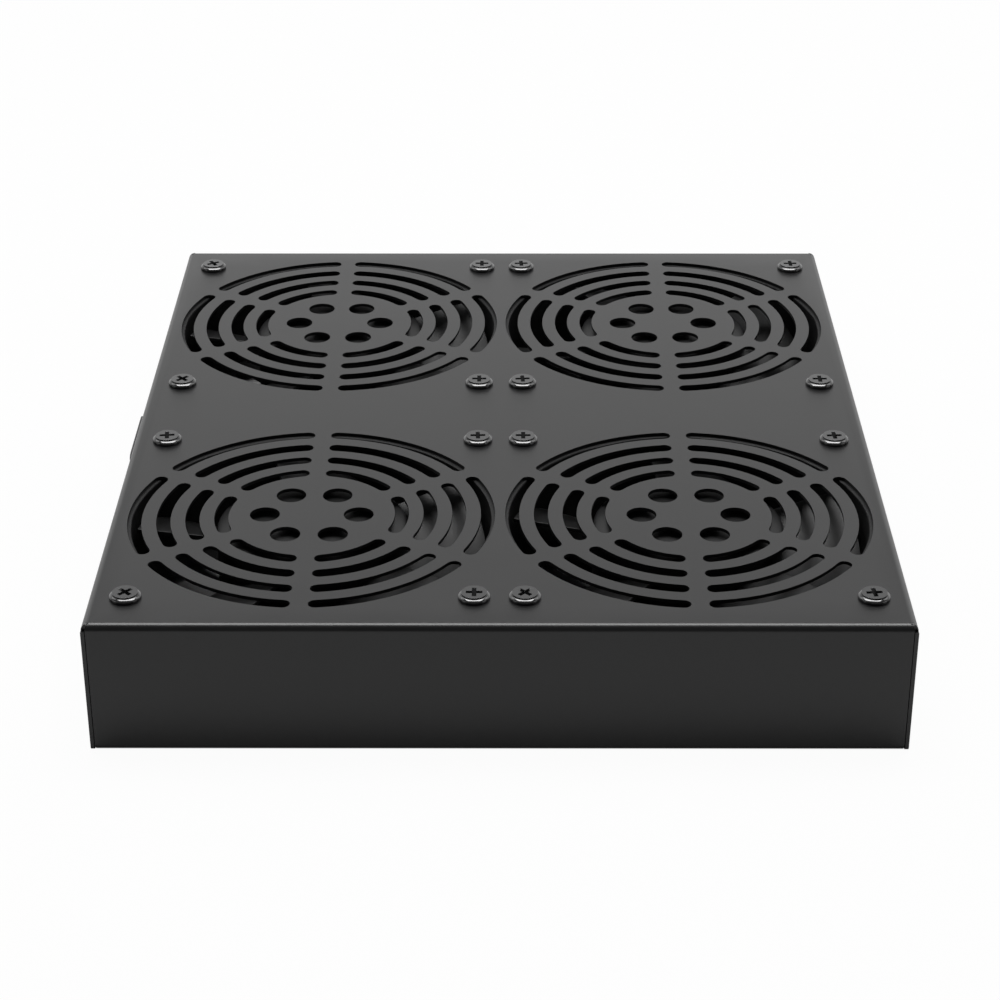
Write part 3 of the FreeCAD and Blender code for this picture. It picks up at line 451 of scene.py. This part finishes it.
# One end's flange, with the folds above and below it and the return lip.
def addFlange(sheet, side, halfWidth, halfDepth, top):
    bend = panSheet["bend"]
    x, flangeEnd = halfWidth - bend, halfWidth - cornerRelief
    face, y, lipEdge = side * halfDepth, side * (halfDepth - bend), side * (halfDepth - panSheet["lip"])
    places = (-flangeEnd, -x, x, flangeEnd)
    foldLine(sheet, [(place, y, top) for place in places], (0, y, top - bend), (1, 0, 0), -side * 90)
    panel = bmesh.new()
    cornerLoop(panel, [(place, bend) for place in places] + [(place, top - bend) for place in places[::-1]])
    upright = Matrix(((1, 0, 0, 0), (0, 0, 1, face), (0, 1, 0, 0), (0, 0, 0, 1)))
    addPanel(sheet, panel, upright)

    foldLine(sheet, [(place, face, bend) for place in places], (0, y, bend), (1, 0, 0), -side * 90)
    panel = bmesh.new()
    cornerLoop(panel, [(place, y) for place in places] + [(flangeEnd, lipEdge), (-flangeEnd, lipEdge)])
    pitchX, pitchY = panSheet["fixingPitch"]
    for end in (-0.5, 0.5):
        roundLoop(panel, end * pitchX, side * pitchY / 2, panSheet["fixing"] / 2, panSheet["fixingSteps"])
    addPanel(sheet, panel, Matrix.Identity(4))


def makePan():
    halfWidth, halfDepth, top = Vector(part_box("tray_pan")[1])
    x, y = halfWidth - panSheet["bend"], halfDepth - panSheet["bend"]
    sheet = bmesh.new()
    panel = bmesh.new()
    cornerLoop(panel, [(-x, -y), (x, -y), (x, y), (-x, y)])
    for fan in fanTurns:
        cutGrille(panel, fanAxis(fan))
    addPanel(sheet, panel, Matrix.Translation((0, 0, top)))
    for side in (-1, 1):
        addWall(sheet, side, halfWidth, halfDepth, top)
        addFlange(sheet, side, halfWidth, halfDepth, top)

    closeShell(sheet, panSheet["seam"])
    highest = max(sheet.faces, key=lambda face: face.calc_center_median().z)
    if highest.normal.z < 0:
        bmesh.ops.reverse_faces(sheet, faces=sheet.faces)
    pan = newObject("folded_pan", meshFrom(sheet, "folded_pan"))
    pan.data.shade_smooth()
    thickness = pan.modifiers.new("steel", "SOLIDIFY")
    thickness.thickness = panSheet["steel"]
    thickness.offset = -1
    thickness.use_even_offset = True
    addBevel(pan, panSheet["rim"], panSheet["rimAngle"])
    dress(pan, "powderCoat")
    finishPiece(pan, "tray", "tray_pan")


makePan()
print("pan made")


# The screws: turned heads with a cross recess, each left at its own turn.
screw = {
    "high": 2.0 * mm,
    "shank": 2.0 * mm,
    "long": 12.0 * mm,
    # Radius and height in mm of the raised disc, the groove round it, the slanting rim and the wall.
    "profile": [(0, 2.0), (3.86, 2.0), (3.94, 1.93), (3.97, 1.5), (4.12, 1.48), (4.7, 1.08), (4.84, 0.94),
                (4.88, 0.82), (4.88, 0.2), (4.7, 0)],
    "steps": 48,
    "crossSpan": 5.2 * mm,
    "crossArm": 1.4 * mm,
    "crossDeep": 2.2 * mm,
    "crossSunk": 0.45,        # share of the cutter's height from the face down to its middle
    "tipSpan": 0.35,          # shares of span and arm that are left at the bottom
    "tipArm": 0.8,
    "smooth": 30,
    "rim": 0.06 * mm,
    "rimAngle": 30,
    # Turn of each recess in degrees, from the front row to the back, each row from the left.
    "turns": [[45, 0, 45, 5], [6, 2, 0, 3], [45, 0, 4, 0], [30, 0, 3, 0]],
}


# Two crossed bars, full size at the face and narrower below.
def makeCrossTool():
    middle = screw["high"] - screw["crossSunk"] * screw["crossDeep"]
    bm = bmesh.new()
    for quarter in (0, 90):
        arm = bmesh.ops.create_cube(bm, size=1)["verts"]
        bmesh.ops.scale(bm, vec=(screw["crossSpan"], screw["crossArm"], screw["crossDeep"]), verts=arm)
        tip = [vertex for vertex in arm if vertex.co.z < 0]
        bmesh.ops.scale(bm, vec=(screw["tipSpan"], screw["tipArm"], 1), verts=tip)
        turn = Matrix.Rotation(math.radians(quarter), 3, "Z")
        bmesh.ops.rotate(bm, cent=(0, 0, 0), matrix=turn, verts=arm)
        bmesh.ops.translate(bm, vec=(0, 0, middle), verts=arm)
    tool = newObject("crossTool", meshFrom(bm, "crossTool"))
    # The cutter's faces become the recess walls, so they carry the painted shade into each head.
    dress(tool, "recessPaintedShade")
    return tool


def makeScrewShape():
    bm = bmesh.new()
    head = [(x * mm, z * mm) for x, z in screw["profile"]]
    shank, end = screw["shank"], -screw["long"]
    latheInto(bm, head + [(shank, 0), (shank, end), (0, end)], screw["steps"])
    closeShell(bm)
    blank = newObject("screwBlank", meshFrom(bm, "screwBlank"))
    dress(blank, "screwBlack")
    cutAway(blank, makeCrossTool(), "TRANSFER")
    shape = blank.data
    bpy.data.objects.remove(blank)
    return shape


def makeScrews():
    shape = makeScrewShape()
    pitch = panSheet["screwPitch"] / 2
    columns = sorted({round(fanAxis(fan).x + side * pitch, 6) for fan in fanTurns for side in (-1, 1)})
    rows = sorted({round(fanAxis(fan).y + end * pitch, 6) for fan in fanTurns for end in (-1, 1)})
    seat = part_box("tray_pan")[1][2]
    bm = bmesh.new()
    for y, turns in zip(rows, screw["turns"]):
        for x, turn in zip(columns, turns):
            before = set(bm.verts)
            bm.from_mesh(shape)
            added = [vertex for vertex in bm.verts if vertex not in before]
            place = Matrix.Translation((x, y, seat)) @ Matrix.Rotation(math.radians(turn), 4, "Z")
            bmesh.ops.transform(bm, matrix=place, verts=added)
    screws = newObject("cross_screws", meshFrom(bm, "cross_screws"))
    smoothByAngle(screws.data, screw["smooth"])
    addBevel(screws, screw["rim"], screw["rimAngle"])
    # The second finish is the painted shade on the recess walls.
    dress(screws, "screwBlack", "recessPaintedShade")
    finishPiece(screws, "tray", "fan_screws")


makeScrews()
print("screws made")


# The impellers: a turned hub cup and five cambered blades.
impeller = {
    "hub": 30.5 * mm,
    "inside": 25.9 * mm,
    "top": 36.0 * mm,
    "low": 9.0 * mm,
    "roof": 2.5 * mm,
    "edge": 1.2 * mm,
    "edgeMiddle": 0.3,        # halfway round the hub's rounded edge, as a share of it
    "boss": 5.5 * mm,
    "bossLow": 28.5 * mm,
    "bore": 2.5 * mm,
    "hubSteps": 96,
    "blades": 5,
    "bladeLow": 11.0 * mm,
    "bladeHigh": 34.0 * mm,
    "bladeSteps": 14,
    "sink": 26.6 * mm,        # where a blade starts, inside the hub's wall
    "root": 25.0 * mm,        # its width there
    "plane": 60.0 * mm,       # past the tip, where it would be as wide as its run
    "run": 46.0 * mm,
    "camber": 34.0,
    "thick": 1.4 * mm,
    "tip": 56.3 * mm,
    "smooth": 35,
    "rim": 0.3 * mm,
    "rimAngle": 50,
}


# Height of a blade's upper face over the place across its run: an arch, flatter towards its upper edge.
def bladeHeight(across):
    rise = impeller["bladeHigh"] - impeller["bladeLow"]
    run = impeller["run"]
    radius = math.hypot(run, rise) / 2 / math.sin(math.radians(impeller["camber"] / 2))
    last = math.atan2(rise, run) - math.radians(impeller["camber"] / 2)
    slope = math.asin(math.sin(last) + (run / 2 - across) / radius)
    return impeller["bladeHigh"] + radius * (math.cos(slope) - math.cos(last))


# A flat grid pulled into a blade that widens outwards and ends on the cylinder that the tips run in.
def addBlade(bm):
    steps, sink, tip = impeller["bladeSteps"], impeller["sink"], impeller["tip"]
    narrow, wide = impeller["root"] / 2, impeller["run"] / 2
    grow = (wide - narrow) / (impeller["plane"] - sink)
    start = narrow - grow * sink
    for vertex in bmesh.ops.create_grid(bm, x_segments=steps, y_segments=steps, size=0.5)["verts"]:
        share, edge = vertex.co.x + 0.5, 2 * vertex.co.y
        # This line of the blade meets the cylinder where a x^2 + b x + c = 0.
        a = 1 + (edge * grow) ** 2
        b = 2 * edge ** 2 * grow * start
        c = (edge * start) ** 2 - tip ** 2
        reach = (-b + math.sqrt(b * b - 4 * a * c)) / (2 * a)
        x = sink + share * (reach - sink)
        y = edge * (narrow + grow * (x - sink))
        vertex.co = (x, y, bladeHeight(y))
    bmesh.ops.recalc_face_normals(bm, faces=bm.faces)
    if sum(face.normal.z for face in bm.faces) < 0:
        bmesh.ops.reverse_faces(bm, faces=bm.faces)
    bmesh.ops.solidify(bm, geom=bm.faces, thickness=impeller["thick"])
    bmesh.ops.recalc_face_normals(bm, faces=bm.faces)


def addHub(bm):
    hub, inside, low, top, edge = (impeller[key] for key in ("hub", "inside", "low", "top", "edge"))
    boss, bossLow, bore = impeller["boss"], impeller["bossLow"], impeller["bore"]
    ceiling, boreEnd = top - impeller["roof"], top - impeller["roof"] / 2
    middle = impeller["edgeMiddle"] * edge
    latheInto(bm, [(0, top), (hub - edge, top), (hub - middle, top - middle), (hub, top - edge), (hub, low),
                   (inside, low), (inside, ceiling), (boss, ceiling), (boss, bossLow), (bore, bossLow),
                   (bore, boreEnd), (0, boreEnd)], impeller["hubSteps"])


def makeImpeller(fan, turn):
    bm = bmesh.new()
    addBlade(bm)
    oneBlade = bm.verts[:] + bm.edges[:] + bm.faces[:]
    for number in range(1, impeller["blades"]):
        copied = bmesh.ops.duplicate(bm, geom=oneBlade)["geom"]
        copiedVerts = [item for item in copied if isinstance(item, bmesh.types.BMVert)]
        swing = Matrix.Rotation(math.tau * number / impeller["blades"], 3, "Z")
        bmesh.ops.rotate(bm, cent=(0, 0, 0), matrix=swing, verts=copiedVerts)
    addHub(bm)
    closeShell(bm)
    place = Matrix.Translation(fanAxis(fan)) @ Matrix.Rotation(math.radians(turn), 4, "Z")
    bmesh.ops.transform(bm, matrix=place, verts=bm.verts)
    wheel = newObject(f"{fan}_fan_wheel", meshFrom(bm, f"{fan}_fan_wheel"))
    smoothByAngle(wheel.data, impeller["smooth"])
    addBevel(wheel, impeller["rim"], impeller["rimAngle"])
    dress(wheel, "mouldedBlack")
    finishPiece(wheel, f"{fan}_rotor", f"{fan}_impeller")


for fan, turn in fanTurns.items():
    makeImpeller(fan, turn)
print("impellers made")


# The fan frames: a square with corner pockets, a round duct, four struts and the motor's base.
fanFrame = {
    "half": 59.75 * mm,
    "high": 38.0 * mm,
    "flange": 4.5 * mm,
    "corner": 2.5 * mm,
    "pocket": 61.0 * mm,      # from the axis to the flat of a corner pocket
    "bore": 57.3 * mm,
    "mouth": 0.4 * mm,
    "ductSteps": 96,
    "hole": 2.15 * mm,
    "holeOut": 52.5 * mm,
    "holeSteps": 24,
    "base": 31.0 * mm,
    "baseHigh": 3.5 * mm,
    "baseRound": 0.8 * mm,
    "baseFloor": 1.5 * mm,
    "baseSteps": 64,
    "tube": 9.5 * mm,
    "tubeFoot": 1 * mm,
    "tubeBore": 7.03 * mm,
    "tubeTop": 28.0 * mm,
    "strutWide": 6.5 * mm,
    "strutHigh": 5.0 * mm,
    "strutFoot": 0.8,         # its width at the foot, as a share
    "strutInWall": 1.2 * mm,
    "strutInBase": 3 * mm,
    "smooth": 30,
    "rim": 0.35 * mm,
    "rimAngle": 40,
}


# An eight-cornered ring: straight sides at the given half width, corners cut off at the given distance.
def eightCorners(half, cut):
    near = math.sqrt(2) * cut - half
    quarter = [(half, -near), (half, near), (near, half), (-near, half)]
    return quarter + [(-x, -y) for x, y in quarter]


# The outside: one face raised step by step, wide at the two flanges and waisted between them.
def makeFrameBlock():
    half, high, flange = fanFrame["half"], fanFrame["high"], fanFrame["flange"]
    square = eightCorners(half, math.sqrt(2) * half - fanFrame["corner"] / math.sqrt(2))
    waist = eightCorners(half, fanFrame["pocket"])
    bm = bmesh.new()
    face = bm.faces.new([bm.verts.new((x, y, 0)) for x, y in square])
    for outline, level in ((square, flange), (waist, flange), (waist, high - flange), (square, high - flange),
                           (square, high)):
        grown = bmesh.ops.extrude_face_region(bm, geom=[face])["geom"]
        face = next(item for item in grown if isinstance(item, bmesh.types.BMFace))
        for vertex, (x, y) in zip(face.verts, outline):
            vertex.co = (x, y, level)
    bmesh.ops.recalc_face_normals(bm, faces=bm.faces)
    return newObject("frameBlock", meshFrom(bm, "frameBlock"))


# The duct with its two mouths, and the four fixing holes.
def makeDuctTool():
    high, bore, mouth, hole = fanFrame["high"], fanFrame["bore"], fanFrame["mouth"], fanFrame["hole"]
    past = 1 * mm             # how far the tool stands out at both ends
    bm = bmesh.new()
    latheInto(bm, [(0, -past), (bore + mouth + past, -past), (bore, mouth), (bore, high - mouth),
                   (bore + mouth + past, high + past), (0, high + past)], fanFrame["ductSteps"])
    for x in (-1, 1):
        for y in (-1, 1):
            place = Matrix.Translation((x * fanFrame["holeOut"], y * fanFrame["holeOut"], high / 2))
            bmesh.ops.create_cone(bm, cap_ends=True, segments=fanFrame["holeSteps"], radius1=hole,
                                  radius2=hole, depth=2 * high, matrix=place)
    closeShell(bm)
    return newObject("ductTool", meshFrom(bm, "ductTool"))


# The dished base with the bearing tube, and the struts that hold it.
def addMotorBase(bm):
    base, rounded, floor, dish = (fanFrame[key] for key in ("base", "baseRound", "baseHigh", "baseFloor"))
    tube, foot, bore, top = (fanFrame[key] for key in ("tube", "tubeFoot", "tubeBore", "tubeTop"))
    latheInto(bm, [(0, 0), (base - rounded, 0), (base, rounded), (base, floor), (tube + foot, floor),
                   (tube, floor + foot), (tube, top), (bore, top), (bore, dish), (0, dish)],
              fanFrame["baseSteps"])
    wide, high, inBase = fanFrame["strutWide"], fanFrame["strutHigh"], fanFrame["strutInBase"]
    reach = fanFrame["bore"] + fanFrame["strutInWall"]
    for quarter in range(4):
        strut = bmesh.ops.create_cube(bm, size=1)["verts"]
        bmesh.ops.scale(bm, vec=(reach - base + inBase, wide, high), verts=strut)
        bmesh.ops.translate(bm, vec=((reach + base - inBase) / 2, 0, high / 2), verts=strut)
        lower = [vertex for vertex in strut if vertex.co.z < high / 2]
        bmesh.ops.scale(bm, vec=(1, fanFrame["strutFoot"], 1), verts=lower)
        swing = Matrix.Rotation(math.pi / 4 + math.pi / 2 * quarter, 3, "Z")
        bmesh.ops.rotate(bm, cent=(0, 0, 0), matrix=swing, verts=strut)
    closeShell(bm)


def makeFrames():
    block = makeFrameBlock()
    cutAway(block, makeDuctTool())
    bm = bmesh.new()
    bm.from_mesh(block.data)
    bpy.data.objects.remove(block)
    motorBase = bmesh.new()
    addMotorBase(motorBase)
    pourInto(bm, motorBase)
    shape = meshFrom(bm, "frameShape")
    for fan in fanTurns:
        mesh = shape.copy()
        mesh.transform(Matrix.Translation(fanAxis(fan)))
        piece = newObject(f"{fan}_fan_frame", mesh)
        smoothByAngle(mesh, fanFrame["smooth"])
        addBevel(piece, fanFrame["rim"], fanFrame["rimAngle"])
        dress(piece, "castBlack")
        finishPiece(piece, "tray", f"{fan}_frame")
    bpy.data.meshes.remove(shape)


makeFrames()
print("fan frames made")


# Merged copies of CAD shapes with softened edges: the piece's name, slot, finish and rim.
softened = {
    "inlet_housing": ("inlet_shell", "inlet_black", "inletBlack", 0.35 * mm),
    "inlet_pins": ("inlet_blades", "pin_nickel", "nickel", 0.3 * mm),
    "fan_plugs": ("terminal_plugs", "plug_black", "plugBlack", 0.5 * mm),
    "terminal_block": ("clamp_block", "block_ivory", "ivory", 0.4 * mm),
}
softening = {
    "flat": 1,                # faces that meet at less than this many degrees become one
    "smooth": 30,
    "rimAngle": 40,
    "flangeRound": 2.6 * mm,  # the corners of the inlet's flange
    "flangeSteps": 5,
    "flangeLeast": 1 * mm,    # shorter edges aren't taken for its corners
    "near": 0.01 * mm,
}


# The edges that run along X at the four outer corners of a piece are rounded.
def roundFlangeCorners(bm, node):
    low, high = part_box(node)
    near, least = softening["near"], softening["flangeLeast"]
    corners = []
    for edge in bm.edges:
        first, second = (vertex.co for vertex in edge.verts)
        alongX = abs(first.x - second.x) > least and (first - second).yz.length < near
        outY = min(abs(first.y - low[1]), abs(first.y - high[1])) < near
        outZ = min(abs(first.z - low[2]), abs(first.z - high[2])) < near
        if alongX and outY and outZ:
            corners.append(edge)
    bmesh.ops.bevel(bm, geom=corners, offset=softening["flangeRound"], offset_type="OFFSET", affect="EDGES",
                    segments=softening["flangeSteps"], profile=0.5, material=-1)


def softenedCopy(node, name, slotName, finish, rim):
    bm = bmesh.new()
    bm.from_mesh(nodes[node].data)
    bmesh.ops.remove_doubles(bm, verts=bm.verts, dist=weld)
    bmesh.ops.dissolve_limit(bm, angle_limit=math.radians(softening["flat"]), verts=bm.verts, edges=bm.edges)
    bmesh.ops.recalc_face_normals(bm, faces=bm.faces)
    if node == "inlet_housing":
        roundFlangeCorners(bm, node)
    piece = newObject(name, meshFrom(bm, name))
    smoothByAngle(piece.data, softening["smooth"])
    addBevel(piece, rim, softening["rimAngle"])
    dress(piece, finish)
    finishPiece(piece, "tray", node)


for node, values in softened.items():
    softenedCopy(node, *values)
print("softened pieces made")


# The wiring inside: smooth leads on the same routes as the CAD's, all in millimetres.
wiring = {
    "lead": 2.6,
    "cable": 3.6,
    "roundSteps": 5,
    "runSteps": 14,
}


def supplyLead(side):
    return [(-96, side * 7, 20.5), (-85, side * 7, 20.5), (-72, side * 2.5, 36.3), (-62, side * 2.5, 36.3)]


def fanCable(side, end):
    pole = end * (7.5 if side < 0 else 2.5)
    return [(-36, pole, 36.3), (side * 19.15 - 13, pole, 36.3), (side * 19.15, end * 3.8, 14.05),
            (side * 19.15, end * 15.8, 14.05)]


# Route, diameter, length, finish, slot and node; the earth lead is short and is given no length.
leads = {
    "live_wire": (supplyLead(-1), "lead", 39.2, "leadBrown", "lead_brown", "live_lead"),
    "neutral_wire": (supplyLead(1), "lead", 39.2, "leadBlue", "lead_blue", "neutral_lead"),
    "earth_wire": ([(-96, 0, 24.5), (-89, 0, 24.5), (-89, 11, 39.15), (-82, 11, 39.15)],
                   "lead", None, "leadGreen", "lead_green", "earth_lead"),
    "front_left_cable": (fanCable(-1, -1), "cable", 35.3, "cableBlack", "cable_black", "fan_cables"),
    "front_right_cable": (fanCable(1, -1), "cable", 71.9, "cableBlack", "cable_black", "fan_cables"),
    "rear_left_cable": (fanCable(-1, 1), "cable", 35.3, "cableBlack", "cable_black", "fan_cables"),
    "rear_right_cable": (fanCable(1, 1), "cable", 71.9, "cableBlack", "cable_black", "fan_cables"),
}


def makeLead(name, route, kind, length, finish, slotName, node):
    width = wiring[kind]
    curve = bpy.data.curves.new(name, "CURVE")
    curve.dimensions = "3D"
    curve.bevel_depth = width / 2 * mm
    curve.bevel_resolution = wiring["roundSteps"]
    curve.resolution_u = wiring["runSteps"]
    curve.use_fill_caps = True
    spline = curve.splines.new("NURBS")
    spline.points.add(len(route) - 1)
    for point, (x, y, z) in zip(spline.points, route):
        point.co = (x * mm, y * mm, z * mm, 1)
    spline.order_u = 3
    spline.use_endpoint_u = True
    lead = newObject(name, curve)
    dress(lead, finish)
    finishPiece(lead, "tray", node)


for name, values in leads.items():
    makeLead(name, *values)
print("leads laid")


# Nodes whose CAD shape is kept.
keptNodes = {
    "fan_nuts": "zinc", "terminal_screws": "zinc", "earth_stud": "zinc", "earth_nuts": "zinc",
    "earth_ring": "nickel", "fan_bearings": "groundSteel", "stator_cores": "laminated",
    "stator_coils": "copperWire", "live_lead": "leadBrown", "neutral_lead": "leadBlue",
    "earth_lead": "leadGreen", "fan_cables": "cableBlack",
}
for fan in fanTurns:
    keptNodes[f"{fan}_shaft"] = "groundSteel"
    keptNodes[f"{fan}_clip"] = "groundSteel"
for node, finish in keptNodes.items():
    dress(nodes[node], finish)
print("kept pieces dressed")


studio = {
    "floorSize": 12.0,
    "floorGrey": 0.52,
    "floorWhite": 0.96,       # share of plain white that the floor shows outside the shadow
    "glossWhite": 0.19,       # the same in reflections
    "shadowReach": 0.0006,
    "shadowInset": 0.0016,    # the folds at the floor curve in by this much
    "glossReach": 0.004,
    "dimSky": 0.12,
    "lowSky": 1.15,
    "highSky": 0.42,
    "backdropFrom": -0.1,     # the sky brightens between these two headings towards the back
    "backdropTo": 0.7,
    "fadeFrom": 0.3,          # and goes over from low to high between these two heights
    "fadeTo": 0.7,
    "lampAim": (0, 0, 0.04),
}
softboxes = {                 # place, size and brightness
    "overhead": ((0, 0.38, 1.6), (1.5, 1.15), 3.7),
    "strip": ((0, 0.28, 1.55), (1.5, 0.5), 6.5),
    "backLeft": ((-1.1, 0.75, 1.3), (0.7, 0.6), 1.5),
    "backRight": ((1.1, 0.75, 1.3), (0.7, 0.6), 1.5),
    "sideLeft": ((-1.7, -0.5, 0.8), (0.9, 0.8), 1.2),
    "sideRight": ((1.7, -0.5, 0.8), (0.9, 0.8), 1.2),
}
camera = {
    "lens": 89.64,
    "sensor": 36.0,
    "distance": 0.804,
    "elevation": 28.15,
    "azimuth": 0.2,
    "tilt": -0.065,
    "target": (-0.00005, -0.065, 0.044),
}


def mapRange(tree, value, low, high, start, end):
    spread = tree.nodes.new("ShaderNodeMapRange")
    spread.interpolation_type = "SMOOTHSTEP"
    tree.links.new(value, spread.inputs["Value"])
    for socket, number in zip(("From Min", "From Max", "To Min", "To Max"), (low, high, start, end)):
        spread.inputs[socket].default_value = number
    return spread.outputs["Result"]


def mixShaders(tree, share, first, second):
    mix = tree.nodes.new("ShaderNodeMixShader")
    for socket, value in zip(mix.inputs, (share, first, second)):
        tree.links.new(value, socket)
    return mix.outputs[0]


# Separate X, Y and Z of the object's own coordinates.
def addPlace(tree):
    place = tree.nodes.new("ShaderNodeSeparateXYZ")
    tree.links.new(tree.nodes.new("ShaderNodeTexCoord").outputs["Object"], place.inputs[0])
    return place.outputs


# Rays that show plain white: straight from the camera, or seen through something clear.
def addSeen(tree, path):
    return addMath(tree, "MAXIMUM", path["Is Camera Ray"], path["Is Transmission Ray"])


# Distance of a place on the floor from the tray's footprint.
def addFootprintDistance(tree):
    low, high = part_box("tray_pan")
    place = addPlace(tree)
    squares = []
    for axis in (0, 1):
        middle, half = (low[axis] + high[axis]) / 2, (high[axis] - low[axis]) / 2 - studio["shadowInset"]
        offset = addMath(tree, "ABSOLUTE", addMath(tree, "SUBTRACT", place[axis], middle))
        past = addMath(tree, "MAXIMUM", addMath(tree, "SUBTRACT", offset, half), 0.0)
        squares.append(addMath(tree, "MULTIPLY", past, past))
    return addMath(tree, "SQRT", addMath(tree, "ADD", *squares))


def makeFloor():
    bm = bmesh.new()
    bmesh.ops.create_grid(bm, x_segments=1, y_segments=1, size=studio["floorSize"] / 2)
    floor = newObject("floor", meshFrom(bm, "floor"))
    material = bpy.data.materials.new("paleFloor")
    material.use_nodes = True
    tree = material.node_tree
    tree.nodes.clear()
    grey = studio["floorGrey"]
    paint = tree.nodes.new("ShaderNodeBsdfDiffuse")
    paint.inputs["Color"].default_value = (grey, grey, grey, 1)
    glow = tree.nodes.new("ShaderNodeEmission")
    path = tree.nodes.new("ShaderNodeLightPath").outputs
    distance = addFootprintDistance(tree)
    near = mapRange(tree, distance, 0.0, studio["shadowReach"], 0.0, studio["floorWhite"])
    far = mapRange(tree, distance, 0.0, studio["glossReach"], 0.0, studio["glossWhite"])
    direct = addMath(tree, "MULTIPLY", addSeen(tree, path), near)
    mirrored = addMath(tree, "MULTIPLY", path["Is Glossy Ray"], far)
    above = mixShaders(tree, addMath(tree, "MAXIMUM", direct, mirrored), paint.outputs[0], glow.outputs[0])
    # Seen from below, the floor is clear, also for the light that then reaches the tray's underside.
    facing = tree.nodes.new("ShaderNodeNewGeometry").outputs["Backfacing"]
    crossed = addMath(tree, "GREATER_THAN", path["Transparent Depth"], 0.5)
    clear = tree.nodes.new("ShaderNodeBsdfTransparent")
    surface = mixShaders(tree, addMath(tree, "MAXIMUM", facing, crossed), above, clear.outputs[0])
    output = tree.nodes.new("ShaderNodeOutputMaterial")
    tree.links.new(surface, output.inputs["Surface"])
    floor.data.materials.append(material)


# A white backdrop behind the tray, a dim room in front of it.
def makeWorld():
    world = bpy.data.worlds.new("studio")
    bpy.context.scene.world = world
    world.use_nodes = True
    tree = world.node_tree
    light = tree.nodes["Background"]
    white = tree.nodes.new("ShaderNodeBackground")
    for background in (light, white):
        background.inputs["Color"].default_value = (1, 1, 1, 1)
    heading = addPlace(tree)
    behind = mapRange(tree, heading["Y"], studio["backdropFrom"], studio["backdropTo"], 0.0, 1.0)
    height = mapRange(tree, heading["Z"], studio["fadeFrom"], studio["fadeTo"], studio["lowSky"],
                      studio["highSky"])
    room = addMath(tree, "MAXIMUM", addMath(tree, "MULTIPLY", behind, height), studio["dimSky"])
    tree.links.new(room, light.inputs["Strength"])
    seen = addSeen(tree, tree.nodes.new("ShaderNodeLightPath").outputs)
    surface = mixShaders(tree, seen, light.outputs[0], white.outputs[0])
    tree.links.new(surface, tree.nodes["World Output"].inputs["Surface"])


def addSoftbox(name, place, size, brightness):
    lamp = bpy.data.lights.new(name, "AREA")
    lamp.shape = "RECTANGLE"
    lamp.size, lamp.size_y = size
    lamp.energy = brightness * math.pi * size[0] * size[1]
    box = newObject(name, lamp)
    box.location = place
    box.rotation_euler = (Vector(studio["lampAim"]) - Vector(place)).to_track_quat("-Z", "Y").to_euler()


def makeCamera():
    view = bpy.data.cameras.new("view")
    view.lens = camera["lens"]
    view.sensor_width = camera["sensor"]
    lookout = newObject("view", view)
    rise, swing = math.radians(camera["elevation"]), math.radians(camera["azimuth"])
    away = Vector((math.sin(swing) * math.cos(rise), -math.cos(swing) * math.cos(rise), math.sin(rise)))
    lookout.location = Vector(camera["target"]) + camera["distance"] * away
    facing = away.to_track_quat("Z", "Y") @ Quaternion((0, 0, 1), math.radians(camera["tilt"]))
    lookout.rotation_euler = facing.to_euler()
    bpy.context.scene.camera = lookout


makeFloor()
makeWorld()
for name, values in softboxes.items():
    addSoftbox(name, *values)
makeCamera()
bpy.context.scene.view_settings.view_transform = "Standard"
print("stage set")
